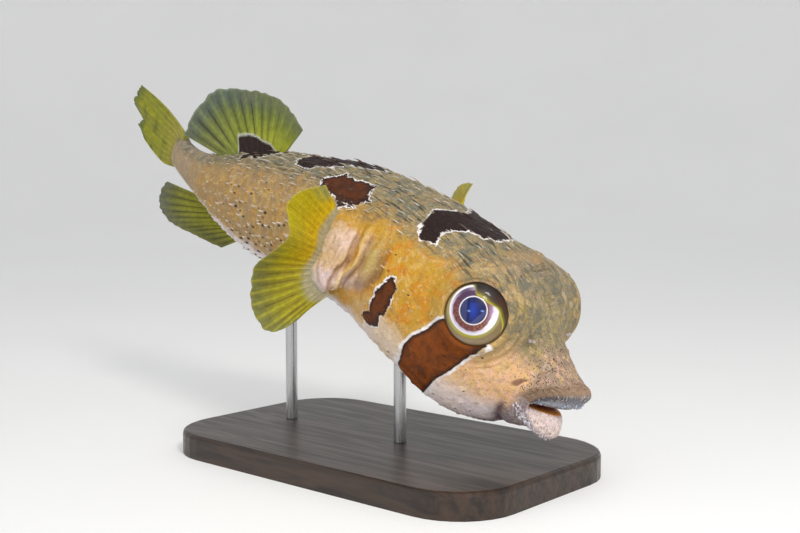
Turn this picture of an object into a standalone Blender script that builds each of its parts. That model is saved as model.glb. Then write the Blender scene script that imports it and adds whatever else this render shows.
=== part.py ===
"""Masked porcupinefish at life size, held by a plain display stand. Metres, +Z up.

The fish swims towards +X with its head dipped and its tail raised and bent aside.
Its right side is at -Y. The origin is at the centre of the base's underside.
"""
import math
import random

import bmesh
import bpy
import numpy as np

MM = 0.001
GAP = 0.0003

# Body axis, from the snout (0) to the tail base (1), and how it bends
BODY_LENGTH = 0.300
SNOUT = np.array((0.105, 0.006, 0.036))
BEND_AT = (0.0, 0.18, 0.50, 0.80, 1.0)
HEADING = (-5.0, -5.0, 2.0, 1.0, 16.0)
PITCH = (37.0, 37.0, 16.0, 12.0, 32.0)
BANK = 3.0
AXIS_STEPS = 500

# Body sections in per cent of the body length: above and below the axis, and half the width
SECTION_AT = (0.0, 0.03, 0.06, 0.10, 0.15, 0.20, 0.30, 0.40,
              0.50, 0.60, 0.70, 0.78, 0.85, 0.90, 0.95, 1.0)
ABOVE = (3.9, 4.5, 5.7, 7.7, 11.0, 13.2, 12.6, 11.9, 11.6, 10.1, 8.6, 6.7, 4.8, 4.0, 3.3, 3.1)
BELOW = (3.4, 5.0, 7.0, 9.9, 12.1, 12.9, 12.6, 11.2, 10.6, 10.5, 9.6, 7.9, 5.3, 4.0, 3.2, 3.1)
HALF_WIDTH = (4.2, 5.6, 7.5, 10.1, 12.5, 13.3, 13.0, 12.1, 11.4, 10.4, 8.7, 6.7, 4.6, 3.2, 2.4, 1.8)
SQUARENESS = 0.92

# The muzzle is pinched between the eyes and the lips, above the cheeks
PINCH = 0.34
PINCH_AT = 0.080
PINCH_SPREAD = 0.040
PINCH_HIGH = 52.0
PINCH_ROUND = 34.0

# Where the body is divided, and the grid of each length
HEAD_END = 0.325
TORSO_END = 0.690
COLUMNS = 44
HEAD_ROWS = 16
TORSO_ROWS = 11
TAIL_ROWS = 10
MUZZLE_START = 0.030
MUZZLE_SLANT = 0.040

# Lips, as rings from the muzzle to inside the mouth, in mm about the snout:
# half width, top, bottom, front at the top, front at the bottom, front at the sides, side height
LIP_RINGS = (
    (21.6, 13.3, -14.9, -7.2, -8.0, -18.8, -1.0),
    (18.2, 13.4, -14.8, -4.8, -6.5, -16.8, -2.2),
    (15.0, 13.8, -15.6, -1.6, -3.2, -15.4, -3.4),
    (13.0, 12.0, -13.2, 0.8, -0.4, -14.8, -4.2),
    (11.9, 5.8, -8.2, -0.6, -1.2, -16.0, -5.0),
    (10.9, 0.6, -3.9, -4.2, -4.4, -18.2, -6.2),
    (9.6, 0.2, -3.9, -7.4, -7.2, -19.8, -6.6),
    (7.4, -0.2, -3.7, -10.0, -9.6, -20.6, -6.8),
)

# Eyes: the middle of the orbit's rim, the way it faces, and its sizes
EYE_AT = 0.163
EYE_ABOVE = 0.065
EYE_OUT = 1.0
EYE_FACING = (0.30, 0.90, 0.25)
ORBIT_RADIUS = 13.6 * MM
ORBIT_FLAT = 1.15
ORBIT_DOME = 44.0
ORBIT_BRIM = 0.5
ORBIT_BLEND = 3.0 * MM
ORBIT_REACH = 30.0 * MM
EYE_RADIUS = 15.4 * MM
EYE_DEPTH = 9.5 * MM
EYE_SUNK = 5.0 * MM
EYE_RINGS = 11
EYE_SIDES = 22
CORNEA_RADIUS = 10.0 * MM
CORNEA_RISE = 1.0 * MM
EYE_LAST_RING = 80.0
EYE_TIP = 0.05 * MM
LID_THICK = 1.3 * MM
LID_OUT = 1.1 * MM
LID_LOW = 0.6 * MM
LID_SIDES = 6

# Gill slit in front of each pectoral fin, with a fold before and behind it
GILL_AT = 0.352
GILL_MIDDLE = 4.0
GILL_HALF = 22.0
GILL_DEPTH = 2.2 * MM
FOLD_RISE = 1.8 * MM
FOLD_SPREAD = 0.011

# Crease behind the chin
CREASE_AT = 0.073
CREASE_DEPTH = 1.8 * MM
CREASE_SPREAD = 0.008

# Nostril tentacles, one before each eye
NOSTRIL_AT = 0.103
NOSTRIL_PHI = 50.0
NOSTRIL_TALL = 3.0 * MM
NOSTRIL_WIDE = 1.5 * MM
NOSTRIL_RINGS = ((-0.5 * NOSTRIL_TALL, 1.0), (0.6 * NOSTRIL_TALL, 0.85), (NOSTRIL_TALL, 0.55))

# Fins
RIM_HALF = 0.30 * MM
RAY_HALF = 0.80 * MM
FIN_ROOT = 4.0 * MM
FIN_STEPS = 5
SCALLOP = 0.035

DORSAL_BASE = (0.700, 0.82)
DORSAL_ANGLE = (132.0, 88.0, 60.0, 32.0, 3.0)
DORSAL_RAY = (19.8, 29.2, 36.5, 47.5, 47.5)
DORSAL_COUNT = 13

ANAL_BASE = (0.74, 0.85)
ANAL_ANGLE = (21.0, 13.0, 10.0, 4.0, -12.0)
ANAL_RAY = (20.0, 32.0, 43.0, 47.0, 37.0)
ANAL_SWING = 12.0
ANAL_COUNT = 12

TAIL_SWING = 12.0
TAIL_TIP_AT = (0.0, 0.25, 0.45, 0.60, 0.80, 1.0)
TAIL_TIP_BACK = (53.8, 57.0, 56.9, 45.0, 47.2, 36.5)
TAIL_TIP_UP = (15.6, 8.0, 0.9, -2.6, -8.0, -13.0)
TAIL_BASE_HALF = 8.4
TAIL_BOW = 4.5
TAIL_COUNT = 9
TAIL_ROOT = 2.0 * MM
TAIL_ROOT_HALF = 3.6 * MM

# Pectoral fins, in a plane turned out from the body: back, up and forward of that plane, in mm
PECTORAL_AT = 0.40
PECTORAL_OUT = 6.0 * MM
PECTORAL_TURN = 40.0
PECTORAL_COUNT = 18
PECTORAL_STEPS = 6
LOBE_BACK = (6.0, 7.0, 7.6, 7.7, 7.6, 6.5, 4.0, 1.0, -1.7)
LOBE_UP = (21.0, 13.0, 6.0, 0.0, -5.0, -9.0, -13.7, -16.5, -19.0)
LOBE_INNER = -15.0
LOBE_BEND = 4.5
LOBE_NARROW = 0.55
LOBE_THICK = (4.6, 4.2, 3.2, 1.9, 1.0)
LOBE_SIDES = 16
RIGHT_BACK = (11.0, 19.0, 24.5, 18.6, 23.0, 31.0, 27.7, 17.0, 4.5)
RIGHT_UP = (32.0, 29.5, 24.0, 11.0, 0.6, -15.0, -33.3, -45.0, -34.0)
RIGHT_FORWARD = (8.0, 20.0, 27.0, 26.0, 20.0, 10.0, 3.0, 0.0, 0.0)
LEFT_BACK = (9.0, 20.0, 32.0, 36.0, 37.0, 34.0, 27.0, 17.0, 6.0)
LEFT_UP = (36.5, 33.0, 24.0, 11.0, -2.0, -15.0, -30.0, -39.0, -35.0)
LEFT_FORWARD = (4.0, 1.0, 1.0, 4.0, 8.0, 9.0, 6.0, 3.0, 0.0)

# Spines lie back along the body, in staggered rows
SPINE_SPACING = 17.5 * MM
SPINE_LENGTH = 11.5 * MM
SPINE_HALF = 1.25 * MM
SPINE_SUNK = 2.5 * MM
SPINE_LIFT = 17.0
SPINE_RINGS = ((0.0, 1.3), (0.45, 0.94))
SPINE_BOW = 0.10
SPINE_TIP_DOWN = 0.04
SPINE_ROOT_AHEAD = 1.5 * MM
SPINE_DRIFT = (0.0012, 2.0)
SPINE_SHORTER = 0.25
HEAD_SPINES = (0.090, 0.283, 6)
TORSO_SPINES = (0.343, 0.643, 8)
TAIL_SPINES = (0.708, 0.865, 5)
SPINE_SEED = 7

# Where no spine grows: about the eyes, and patches from and to t and angle above the side,
# which are the gills and pectoral fins, the dorsal fin, the anal fin and the two rods
CLEAR_OF_EYE = 4.5 * MM
CLEAR_PATCHES = (
    (0.300, 0.425, -38.0, 34.0),
    (0.665, 0.840, 79.0, 91.0),
    (0.705, 0.870, -91.0, -76.0),
    (0.235, 0.330, -91.0, -80.0),
    (0.555, 0.650, -91.0, -80.0),
)

# Display stand
BASE_LONG = 0.200
BASE_WIDE = 0.120
BASE_THICK = 0.012
BASE_CORNER = 0.030
BASE_EDGE = 0.002
ROD_RADIUS = 0.003
ROD_SIDES = 24
FRONT_ROD_AT = 0.30
REAR_ROD_AT = 0.62


def through(knots, values):
    """A smooth curve through the knots that doesn't overshoot."""
    x = np.array(knots, float)
    y = np.array(values, float)
    h = np.diff(x)
    d = np.diff(y) / h
    m = np.zeros(len(x))
    for i in range(1, len(x) - 1):
        if d[i - 1] * d[i] > 0:
            before = 2 * h[i] + h[i - 1]
            after = h[i] + 2 * h[i - 1]
            m[i] = (before + after) / (before / d[i - 1] + after / d[i])

    def end_slope(h0, h1, d0, d1):
        slope = ((2 * h0 + h1) * d0 - h0 * d1) / (h0 + h1)
        if np.sign(slope) != np.sign(d0):
            return 0.0
        if np.sign(d0) != np.sign(d1) and abs(slope) > 3 * abs(d0):
            return 3 * d0
        return slope

    m[0] = end_slope(h[0], h[1], d[0], d[1])
    m[-1] = end_slope(h[-1], h[-2], d[-1], d[-2])

    def curve(q):
        q = np.clip(np.asarray(q, float), x[0], x[-1])
        i = np.clip(np.searchsorted(x, q, side="right") - 1, 0, len(h) - 1)
        s = (q - x[i]) / h[i]
        start = y[i] * (1 + 2 * s) * (1 - s) ** 2 + m[i] * h[i] * s * (1 - s) ** 2
        end = y[i + 1] * s * s * (3 - 2 * s) + m[i + 1] * h[i] * s * s * (s - 1)
        return start + end

    return curve


heading_at = through(BEND_AT, HEADING)
pitch_at = through(BEND_AT, PITCH)
above_at = through(SECTION_AT, ABOVE)
below_at = through(SECTION_AT, BELOW)
width_at = through(SECTION_AT, HALF_WIDTH)


def body_axes(t):
    """Forward, right and up at t along the body."""
    heading = np.radians(heading_at(t))
    pitch = np.radians(pitch_at(t))
    bank = math.radians(BANK)
    zero = np.zeros_like(heading)
    forward = np.stack([np.cos(heading) * np.cos(pitch), -np.sin(heading) * np.cos(pitch), -np.sin(pitch)], -1)
    level = np.stack([-np.sin(heading), -np.cos(heading), zero], -1)
    upright = np.stack([np.cos(heading) * np.sin(pitch), -np.sin(heading) * np.sin(pitch), np.cos(pitch)], -1)
    right = level * math.cos(bank) + upright * math.sin(bank)
    up = upright * math.cos(bank) - level * math.sin(bank)
    return forward, right, up


AXIS_T = np.linspace(0.0, 1.0, AXIS_STEPS + 1)
AXIS_FORWARD = body_axes(AXIS_T)[0]
AXIS_STEP = BODY_LENGTH / AXIS_STEPS
AXIS_BETWEEN = 0.5 * (AXIS_FORWARD[1:] + AXIS_FORWARD[:-1])
AXIS_PLACE = SNOUT - np.vstack([np.zeros(3), np.cumsum(AXIS_BETWEEN, 0) * AXIS_STEP])


def axis_point(t):
    t = np.asarray(t, float)
    place = np.stack([np.interp(t, AXIS_T, AXIS_PLACE[:, k]) for k in range(3)], -1)
    beyond = (t - np.clip(t, 0.0, 1.0))[..., None] * BODY_LENGTH
    return place - beyond * body_axes(t)[0]


def size_at(t):
    """Half width, height above and height below the axis, in metres."""
    share = BODY_LENGTH / 100.0
    return width_at(t) * share, above_at(t) * share, below_at(t) * share


def orbit(side):
    """The middle of an orbit's rim and the way it faces; side is 1 on the right, -1 on the left."""
    forward, right, up = body_axes(np.array(EYE_AT))
    half = size_at(EYE_AT)[0]
    middle = axis_point(EYE_AT) + up * EYE_ABOVE * BODY_LENGTH + right * side * EYE_OUT * half
    facing = forward * EYE_FACING[0] + right * side * EYE_FACING[1] + up * EYE_FACING[2]
    return middle, facing / np.linalg.norm(facing)


ORBITS = {side: orbit(side) for side in (1, -1)}


def raise_orbits(place):
    """Swells the head up to the rim of each orbit."""
    for middle, facing in ORBITS.values():
        start = (place - middle) @ facing
        out = start
        aside = np.linalg.norm(place - middle - out[..., None] * facing, axis=-1)
        flat = ORBIT_FLAT * ORBIT_RADIUS
        dome = ORBIT_DOME * (flat ** 2 - np.maximum(aside, flat) ** 2)
        swell = 0.5 * (dome - out + np.sqrt((dome - out) ** 2 + ORBIT_BLEND ** 2))
        out = out + np.where(out > -ORBIT_REACH, swell, 0.0)
        brim = ORBIT_BRIM * np.maximum(aside - ORBIT_RADIUS, 0.0)
        press = 0.5 * (out - brim + np.sqrt((out - brim) ** 2 + ORBIT_BLEND ** 2 / 4.0))
        press = press * bell(np.maximum(aside - ORBIT_RADIUS, 0.0) / ORBIT_RADIUS)
        place = place + (out - start - press)[..., None] * facing
    return place


def bell(x):
    return np.exp(-x * x)


def side_angle(phi):
    """The angle above the side, from -90 on the belly to 90 on the back."""
    return 90.0 - np.abs((np.asarray(phi, float) + 90.0) % 360.0 - 180.0)


def relief(t, phi):
    """How far folds stand out from the plain body."""
    along_gill = bell(((side_angle(phi) - GILL_MIDDLE) / GILL_HALF) ** 2)
    slit = bell((t - GILL_AT) / (0.45 * FOLD_SPREAD))
    folds = bell((t - GILL_AT - 1.6 * FOLD_SPREAD) / FOLD_SPREAD)
    folds = folds + 0.5 * bell((t - GILL_AT + 1.5 * FOLD_SPREAD) / FOLD_SPREAD)
    chin = np.clip(-np.sin(np.radians(phi)) + 0.25, 0.0, 1.0)
    crease = bell((t - CREASE_AT) / CREASE_SPREAD) * chin
    return along_gill * (FOLD_RISE * folds - GILL_DEPTH * slit) - CREASE_DEPTH * crease


def plain_body(t, phi):
    t = np.asarray(t, float)
    phi = np.asarray(phi, float)
    forward, right, up = body_axes(t)
    half, above, below = size_at(t)
    c = np.cos(np.radians(phi))
    s = np.sin(np.radians(phi))
    more = relief(t, phi)
    height_angle = side_angle(phi)
    pinch = PINCH * bell((t - PINCH_AT) / PINCH_SPREAD) * bell((height_angle - PINCH_HIGH) / PINCH_ROUND)
    aside = (half + more) * (1.0 - pinch) * np.sign(c) * np.abs(c) ** SQUARENESS
    high = (np.where(s > 0, above, below) + more) * np.sign(s) * np.abs(s) ** SQUARENESS
    return axis_point(t) + aside[..., None] * right + high[..., None] * up


def body(t, phi, grow=0.0):
    """The body's surface; phi is 0 on the right, 90 on the back, 180 on the left, 270 below."""
    place = raise_orbits(plain_body(t, phi))
    if grow:
        place = place + grow * body_normal(t, phi)
    return place


def body_slopes(t, phi):
    t = np.asarray(t, float)
    phi = np.asarray(phi, float)
    back = body(t + 0.004, phi) - body(t - 0.004, phi)
    around = body(t, phi + 1.0) - body(t, phi - 1.0)
    return back, around


def body_normal(t, phi):
    back, around = body_slopes(t, phi)
    normal = np.cross(around, back)
    return normal / np.linalg.norm(normal, axis=-1, keepdims=True)


def lip_ring(sizes, phi):
    """One ring of the lips, from its sizes in mm about the snout."""
    half, top, bottom, front_top, front_bottom, front_side, side_up = sizes
    forward, right, up = body_axes(np.array(0.0))
    c = np.cos(np.radians(phi))
    s = np.sin(np.radians(phi))
    aside = half * c
    high = np.where(s > 0, top, -bottom) * s + side_up * c * c
    ahead = np.where(s > 0, front_top, front_bottom) * s * s + front_side * c * c
    place = ahead[:, None] * forward + aside[:, None] * right + high[:, None] * up
    return SNOUT + place * MM


def material(name, colour, roughness, metallic=0.0):
    made = bpy.data.materials.new(name)
    made.use_nodes = True
    shader = made.node_tree.nodes["Principled BSDF"]
    shader.inputs["Base Color"].default_value = (*colour, 1.0)
    shader.inputs["Roughness"].default_value = roughness
    shader.inputs["Metallic"].default_value = metallic
    return made


def make_object(name, points, faces, made=None):
    """A mesh object whose faces are turned outward."""
    mesh = bpy.data.meshes.new(name)
    mesh.from_pydata([tuple(map(float, p)) for p in points], [], faces)
    sheet = bmesh.new()
    sheet.from_mesh(mesh)
    bmesh.ops.recalc_face_normals(sheet, faces=sheet.faces)
    sheet.to_mesh(mesh)
    sheet.free()
    made_object = bpy.data.objects.new(name, mesh)
    bpy.context.scene.collection.objects.link(made_object)
    if made:
        mesh.materials.append(made)
    return made_object


def tube(rings):
    """Points and faces of a closed skin over rings of equal count, capped at both ends."""
    count = len(rings[0])
    points = [p for ring in rings for p in ring]
    faces = []
    for j in range(len(rings) - 1):
        for i in range(count):
            after = (i + 1) % count
            faces.append((j * count + i, j * count + after, (j + 1) * count + after, (j + 1) * count + i))
    for j in (0, len(rings) - 1):
        middle = len(points)
        points.append(np.mean(rings[j], axis=0))
        for i in range(count):
            faces.append((middle, j * count + i, j * count + (i + 1) % count))
    return points, faces


def settle(target):
    """Applies an object's modifiers and keeps its largest closed surface."""
    graph = bpy.context.evaluated_depsgraph_get()
    graph.update()
    old = target.data
    mesh = bpy.data.meshes.new_from_object(target.evaluated_get(graph))
    target.modifiers.clear()
    target.data = mesh
    bpy.data.meshes.remove(old)
    whole = bmesh.new()
    whole.from_mesh(mesh)
    left = set(whole.faces)
    largest = set()
    while left:
        stack = [left.pop()]
        group = set(stack)
        while stack:
            for edge in stack.pop().edges:
                for face in edge.link_faces:
                    if face in left:
                        left.discard(face)
                        group.add(face)
                        stack.append(face)
        if len(group) > len(largest):
            largest = group
    spare = [face for face in whole.faces if face not in largest]
    bmesh.ops.delete(whole, geom=spare, context="FACES")
    bmesh.ops.triangulate(whole, faces=whole.faces)
    whole.to_mesh(mesh)
    whole.free()
    mesh.name = target.name


def combine(target, others, operation):
    """Joins other closed objects to a target, or cuts them from it, and removes them."""
    group = bpy.data.collections.new(target.name + "_others")
    bpy.context.scene.collection.children.link(group)
    for other in others:
        for home in list(other.users_collection):
            home.objects.unlink(other)
        group.objects.link(other)
    step = target.modifiers.new(operation.lower(), "BOOLEAN")
    step.operation = operation
    step.solver = "EXACT"
    step.operand_type = "COLLECTION"
    step.collection = group
    settle(target)
    for other in others:
        mesh = other.data
        bpy.data.objects.remove(other)
        bpy.data.meshes.remove(mesh)
    bpy.data.collections.remove(group)


def body_columns():
    return np.arange(COLUMNS) * 360.0 / COLUMNS


def torso_rows():
    return np.linspace(HEAD_END + 0.5 * GAP / BODY_LENGTH, TORSO_END - 0.5 * GAP / BODY_LENGTH, TORSO_ROWS)


def tail_rows():
    return np.linspace(TORSO_END + 0.5 * GAP / BODY_LENGTH, 1.0, TAIL_ROWS)


def body_rings(rows, grow=0.0):
    phi = body_columns()
    return [body(np.full(COLUMNS, t), phi, grow) for t in rows]


def body_cutter():
    """The torso and tail grown by the gap, to part the fins and the rods from them."""
    rows = np.concatenate([[HEAD_END - 0.06, HEAD_END - 0.03], torso_rows(), tail_rows()])
    rings = body_rings(rows, GAP)
    end = body_axes(np.array(1.0))[0]
    rings.append(rings[-1] - end * GAP)
    return make_object("body_cutter", *tube(rings))


def ellipsoid(name, side, extra=0.0):
    """An eyeball, flattened along the way it faces, with its cornea swelling forward."""
    middle, facing = ORBITS[side]
    across = np.cross(facing, (0.0, 0.0, 1.0))
    across = across / np.linalg.norm(across)
    over = np.cross(across, facing)
    centre = middle - facing * EYE_SUNK
    rings = []
    for a in np.radians(np.linspace(-EYE_LAST_RING, EYE_LAST_RING, EYE_RINGS)):
        deep = (EYE_DEPTH + extra) * math.sin(a)
        wide = (EYE_RADIUS + extra) * math.cos(a)
        if a > 0:
            deep += CORNEA_RISE * max(0.0, 1.0 - (wide / CORNEA_RADIUS) ** 2)
        turn = np.radians(np.arange(EYE_SIDES) * 360.0 / EYE_SIDES)
        ring = across * (wide * np.cos(turn))[:, None] + over * (wide * np.sin(turn))[:, None]
        rings.append(centre + facing * deep + ring)
    points, faces = tube(rings)
    points[-2] = points[-2] - facing * EYE_TIP
    points[-1] = points[-1] + facing * EYE_TIP
    return make_object(name, points, faces)


def lid(side):
    """The rolled rim of an orbit."""
    middle, facing = ORBITS[side]
    across = np.cross(facing, (0.0, 0.0, 1.0))
    across = across / np.linalg.norm(across)
    over = np.cross(across, facing)
    count = EYE_SIDES
    round_count = LID_SIDES
    points = []
    faces = []
    for i in range(count):
        a = 2.0 * math.pi * (i + 0.5) / count
        outward = across * math.cos(a) + over * math.sin(a)
        for k in range(round_count):
            b = 2.0 * math.pi * k / round_count
            radius = ORBIT_RADIUS + LID_OUT + LID_THICK * math.cos(b)
            points.append(middle + outward * radius + facing * (LID_THICK * math.sin(b) - LID_LOW))
            here = i * round_count + k
            side_by = i * round_count + (k + 1) % round_count
            step = ((i + 1) % count) * round_count
            faces.append((here, side_by, step + (k + 1) % round_count, step + k))
    return make_object("lid", points, faces)


def cone(root, direction, bend, length, half):
    """A tapered spine of four sides that bends once towards its tip."""
    side = np.cross(direction, bend)
    side = side / np.linalg.norm(side)
    flat = np.cross(side, direction)
    points = []
    for share, size in SPINE_RINGS:
        middle = root + direction * length * share + bend * length * SPINE_BOW * share
        for turn in range(4):
            a = math.pi * (0.25 + 0.5 * turn)
            points.append(middle + (side * math.cos(a) + flat * math.sin(a)) * half * size)
    points.append(root + direction * length - bend * length * SPINE_TIP_DOWN)
    faces = [(0, 1, 2, 3)]
    for turn in range(4):
        after = (turn + 1) % 4
        faces.append((turn, after, 4 + after, 4 + turn))
        faces.append((4 + turn, 4 + after, 8))
    return make_object("spine", points, faces)


def bare(t, phi, tip):
    """Whether a spine rooted here would reach an eye, a fin, the gills or a rod."""
    root = body(t, phi)
    for middle, facing in ORBITS.values():
        for place in (root, tip, 0.5 * (root + tip)):
            if np.linalg.norm(place - middle) < ORBIT_RADIUS + CLEAR_OF_EYE:
                return True
    for first, last, low, high in CLEAR_PATCHES:
        if first < t < last and low < side_angle(phi) < high:
            return True
    return False


def spines(first, last, rows, draw):
    """Staggered rows of spines that lie back along the body."""
    made = []
    for row, t in enumerate(np.linspace(first, last, rows)):
        half, above, below = size_at(t)
        count = int(round(math.pi * (half + 0.5 * (above + below)) / SPINE_SPACING))
        for k in range(count):
            drift_t, drift_phi = SPINE_DRIFT
            phi = (360.0 * (k + 0.5 * (row % 2)) / count + 90.0 + draw.uniform(-drift_phi, drift_phi)) % 360.0
            place = t + draw.uniform(-drift_t, drift_t)
            back = body_slopes(place, phi)[0]
            back = back / np.linalg.norm(back)
            normal = body_normal(place, phi)
            lift = math.radians(SPINE_LIFT)
            direction = back * math.cos(lift) + normal * math.sin(lift)
            root = body(place, phi) - normal * SPINE_SUNK - back * SPINE_ROOT_AHEAD
            end_share = max(0.0, 1.0 - t / 0.2) + max(0.0, (t - 0.65) / 0.35)
            length = (SPINE_LENGTH + SPINE_SUNK) * (1.0 - SPINE_SHORTER * end_share)
            if bare(place, phi, root + direction * length):
                continue
            made.append(cone(root, direction, normal, length, SPINE_HALF))
    return made


def sheet(name, rays, gap_steps=1, root_half=0.0, steps=FIN_STEPS):
    """A fin: a thin closed membrane with each ray raised as a ridge on both faces.

    rays is a function of the share across the fin (0 to 1) and the share along the ray,
    and returns a place. Columns alternate between rays and the membrane between them.
    """
    count, path = rays
    columns = (count - 1) * (gap_steps + 1) + 1
    across = np.linspace(0.0, 1.0, columns)
    along = np.linspace(0.0, 1.0, steps + 1)
    grid = np.zeros((columns, steps + 1, 3))
    thick = np.zeros((columns, steps + 1))
    for i, u in enumerate(across):
        is_ray = i % (gap_steps + 1) == 0
        reach = 1.0 if is_ray else 1.0 - SCALLOP
        grid[i] = path(u, along * reach)
        edge = RAY_HALF * (1.0 - 0.55 * along) if is_ray else np.full(steps + 1, RIM_HALF)
        thick[i] = edge + root_half * np.clip(1.0 - along / 0.22, 0.0, 1.0) ** 1.5
    slope_u = np.gradient(grid, axis=0)
    slope_v = np.gradient(grid, axis=1)
    normal = np.cross(slope_u, slope_v)
    normal = normal / np.linalg.norm(normal, axis=-1, keepdims=True)
    faces = []
    rows = steps + 1
    half_count = columns * rows
    points = np.concatenate([(grid + normal * thick[..., None]).reshape(-1, 3),
                             (grid - normal * thick[..., None]).reshape(-1, 3)])
    for i in range(columns - 1):
        for j in range(steps):
            a = i * rows + j
            b = a + rows
            faces += [(a, b, b + 1), (a, b + 1, a + 1)]
            faces += [(a + half_count, b + 1 + half_count, b + half_count),
                      (a + half_count, a + 1 + half_count, b + 1 + half_count)]
    border = [i * rows for i in range(columns)]
    border += [(columns - 1) * rows + j for j in range(1, rows)]
    border += [i * rows + steps for i in range(columns - 2, -1, -1)]
    border += list(range(steps - 1, 0, -1))
    for k, a in enumerate(border):
        b = border[(k + 1) % len(border)]
        faces += [(a, a + half_count, b + half_count), (a, b + half_count, b)]
    return make_object(name, points, faces)


def median_rays(base, angles, lengths, phi, swing):
    """Rays of a fin on the midline, from their lengths and angles above the way back."""
    at = np.linspace(0.0, 1.0, len(angles))
    angle_at = through(at, angles)
    length_at = through(at, lengths)
    forward, right, up = body_axes(np.array(0.5 * (base[0] + base[1])))
    swing = math.radians(swing)
    back = -forward * math.cos(swing) + right * math.sin(swing)
    away = up if phi == 90.0 else -up

    def path(u, along):
        t = base[0] + (base[1] - base[0]) * u
        start = body(t, phi)
        sunk = start - away * FIN_ROOT
        angle = math.radians(float(angle_at(u)))
        tip = start + (back * math.cos(angle) + away * math.sin(angle)) * float(length_at(u)) * MM
        return sunk + (tip - sunk) * along[:, None]

    return path


def tail_rays():
    """Rays of the tail fin, fanned out from the end of the body."""
    back_at = through(TAIL_TIP_AT, TAIL_TIP_BACK)
    up_at = through(TAIL_TIP_AT, TAIL_TIP_UP)
    forward, right, up = body_axes(np.array(1.0))
    swing = math.radians(TAIL_SWING)
    back = -forward * math.cos(swing) + right * math.sin(swing)
    base = axis_point(1.0) + forward * TAIL_ROOT

    def path(u, along):
        high = TAIL_BASE_HALF * (1.0 - 2.0 * u)
        bow = TAIL_BOW * (1.0 - 2.0 * u) * np.sin(math.pi * along ** 0.8)
        far = float(back_at(u)) * along
        rise = high + (float(up_at(u)) - high) * along + bow
        turned = np.clip(along * 3.0, 0.0, 1.0)[:, None]
        away = back * turned - forward * (1.0 - turned)
        return base + (away * far[:, None] + up * rise[:, None]) * MM

    return path


class Pectoral:
    """The frame, the fleshy lobe and the rays of a pectoral fin; side is 1 on the right."""

    def __init__(self, side, tip_back, tip_up, tip_forward):
        forward, right, up = body_axes(np.array(PECTORAL_AT))
        half = size_at(PECTORAL_AT)[0]
        turn = math.radians(PECTORAL_TURN)
        self.side = side
        self.out = right * side
        self.back = -forward * math.cos(turn) + self.out * math.sin(turn)
        self.up = up
        self.ahead = -np.cross(self.back, self.up) * side
        self.middle = axis_point(PECTORAL_AT) + self.out * (half + PECTORAL_OUT)
        at = np.linspace(0.0, 1.0, len(LOBE_UP))
        self.curves = [through(at, values) for values in (LOBE_BACK, LOBE_UP, tip_back, tip_up, tip_forward)]

    def place(self, back, up, ahead):
        return self.middle + (self.back * back + self.up * up + self.ahead * ahead) * MM

    def path(self, u, along):
        base_back, base_up, tip_back, tip_up, tip_ahead = [float(curve(u)) for curve in self.curves]
        start = self.place(base_back - 4.0, base_up * 0.96, 0.0)
        tip = self.place(tip_back, tip_up, tip_ahead)
        bend = self.place(base_back + 0.45 * (tip_back - base_back), base_up + 0.5 * (tip_up - base_up),
                          0.25 * tip_ahead)
        s = along[:, None]
        return start * (1 - s) ** 2 + bend * 2 * s * (1 - s) + tip * s * s

    def lobe(self):
        """The fleshy base, from inside the body out to the arc where the rays come free."""
        back_at, up_at = self.curves[0], self.curves[1]
        shares = np.linspace(0.0, 1.0, len(LOBE_THICK))
        rings = []
        for share, thick in zip(shares, LOBE_THICK):
            ring = []
            for k in range(LOBE_SIDES):
                a = 2.0 * math.pi * k / LOBE_SIDES
                u = 0.5 - 0.5 * math.cos(a) * 0.998
                arc = float(back_at(u))
                high = float(up_at(u)) * (LOBE_NARROW + (1.0 - LOBE_NARROW) * share) + 0.4
                far = LOBE_INNER + (arc - LOBE_INNER) * share
                side_way = math.copysign(abs(math.sin(a)) ** 0.8, math.sin(a))
                ring.append(self.place(far, high, thick * side_way - LOBE_BEND * (1.0 - share) ** 2))
            rings.append(np.array(ring))
        return make_object("lobe", *tube(rings))


def nostril(side):
    phi = NOSTRIL_PHI if side > 0 else 180.0 - NOSTRIL_PHI
    root = body(NOSTRIL_AT, phi)
    normal = body_normal(NOSTRIL_AT, phi)
    across = np.cross(normal, (0.0, 0.0, 1.0))
    across = across / np.linalg.norm(across)
    over = np.cross(normal, across)
    rings = []
    for high, wide in NOSTRIL_RINGS:
        turn = np.radians(np.arange(8) * 45.0)
        ring = across * np.cos(turn)[:, None] + over * np.sin(turn)[:, None]
        rings.append(root + normal * high + ring * NOSTRIL_WIDE * wide)
    return make_object("nostril", *tube(rings))


def make_head(draw):
    phi = body_columns()
    rings = [lip_ring(sizes, phi) for sizes in reversed(LIP_RINGS)]
    slant = MUZZLE_SLANT * np.cos(np.radians(phi)) ** 2
    end = HEAD_END - 0.5 * GAP / BODY_LENGTH
    for share in np.linspace(0.0, 1.0, HEAD_ROWS):
        rings.append(body((MUZZLE_START + slant) * (1.0 - share) + end * share, phi))
    head = make_object("head", *tube(rings), material("head", (0.62, 0.46, 0.20), 0.45))
    extras = spines(*HEAD_SPINES, draw)
    extras += [lid(1), lid(-1), nostril(1), nostril(-1)]
    combine(head, extras, "UNION")
    combine(head, [ellipsoid("socket", side, GAP) for side in (1, -1)], "DIFFERENCE")
    return head


def make_torso(draw):
    torso = make_object("torso", *tube(body_rings(torso_rows())), material("torso", (0.60, 0.47, 0.22), 0.45))
    combine(torso, spines(*TORSO_SPINES, draw), "UNION")
    return torso


def make_tail(draw):
    tail = make_object("tail", *tube(body_rings(tail_rows())), material("tail", (0.62, 0.50, 0.28), 0.45))
    combine(tail, spines(*TAIL_SPINES, draw), "UNION")
    return tail


def make_eye(name, side):
    eye = ellipsoid(name, side)
    eye.data.materials.append(material(name, (0.05, 0.08, 0.30), 0.08))
    eye.data.shade_smooth()
    return eye


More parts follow.
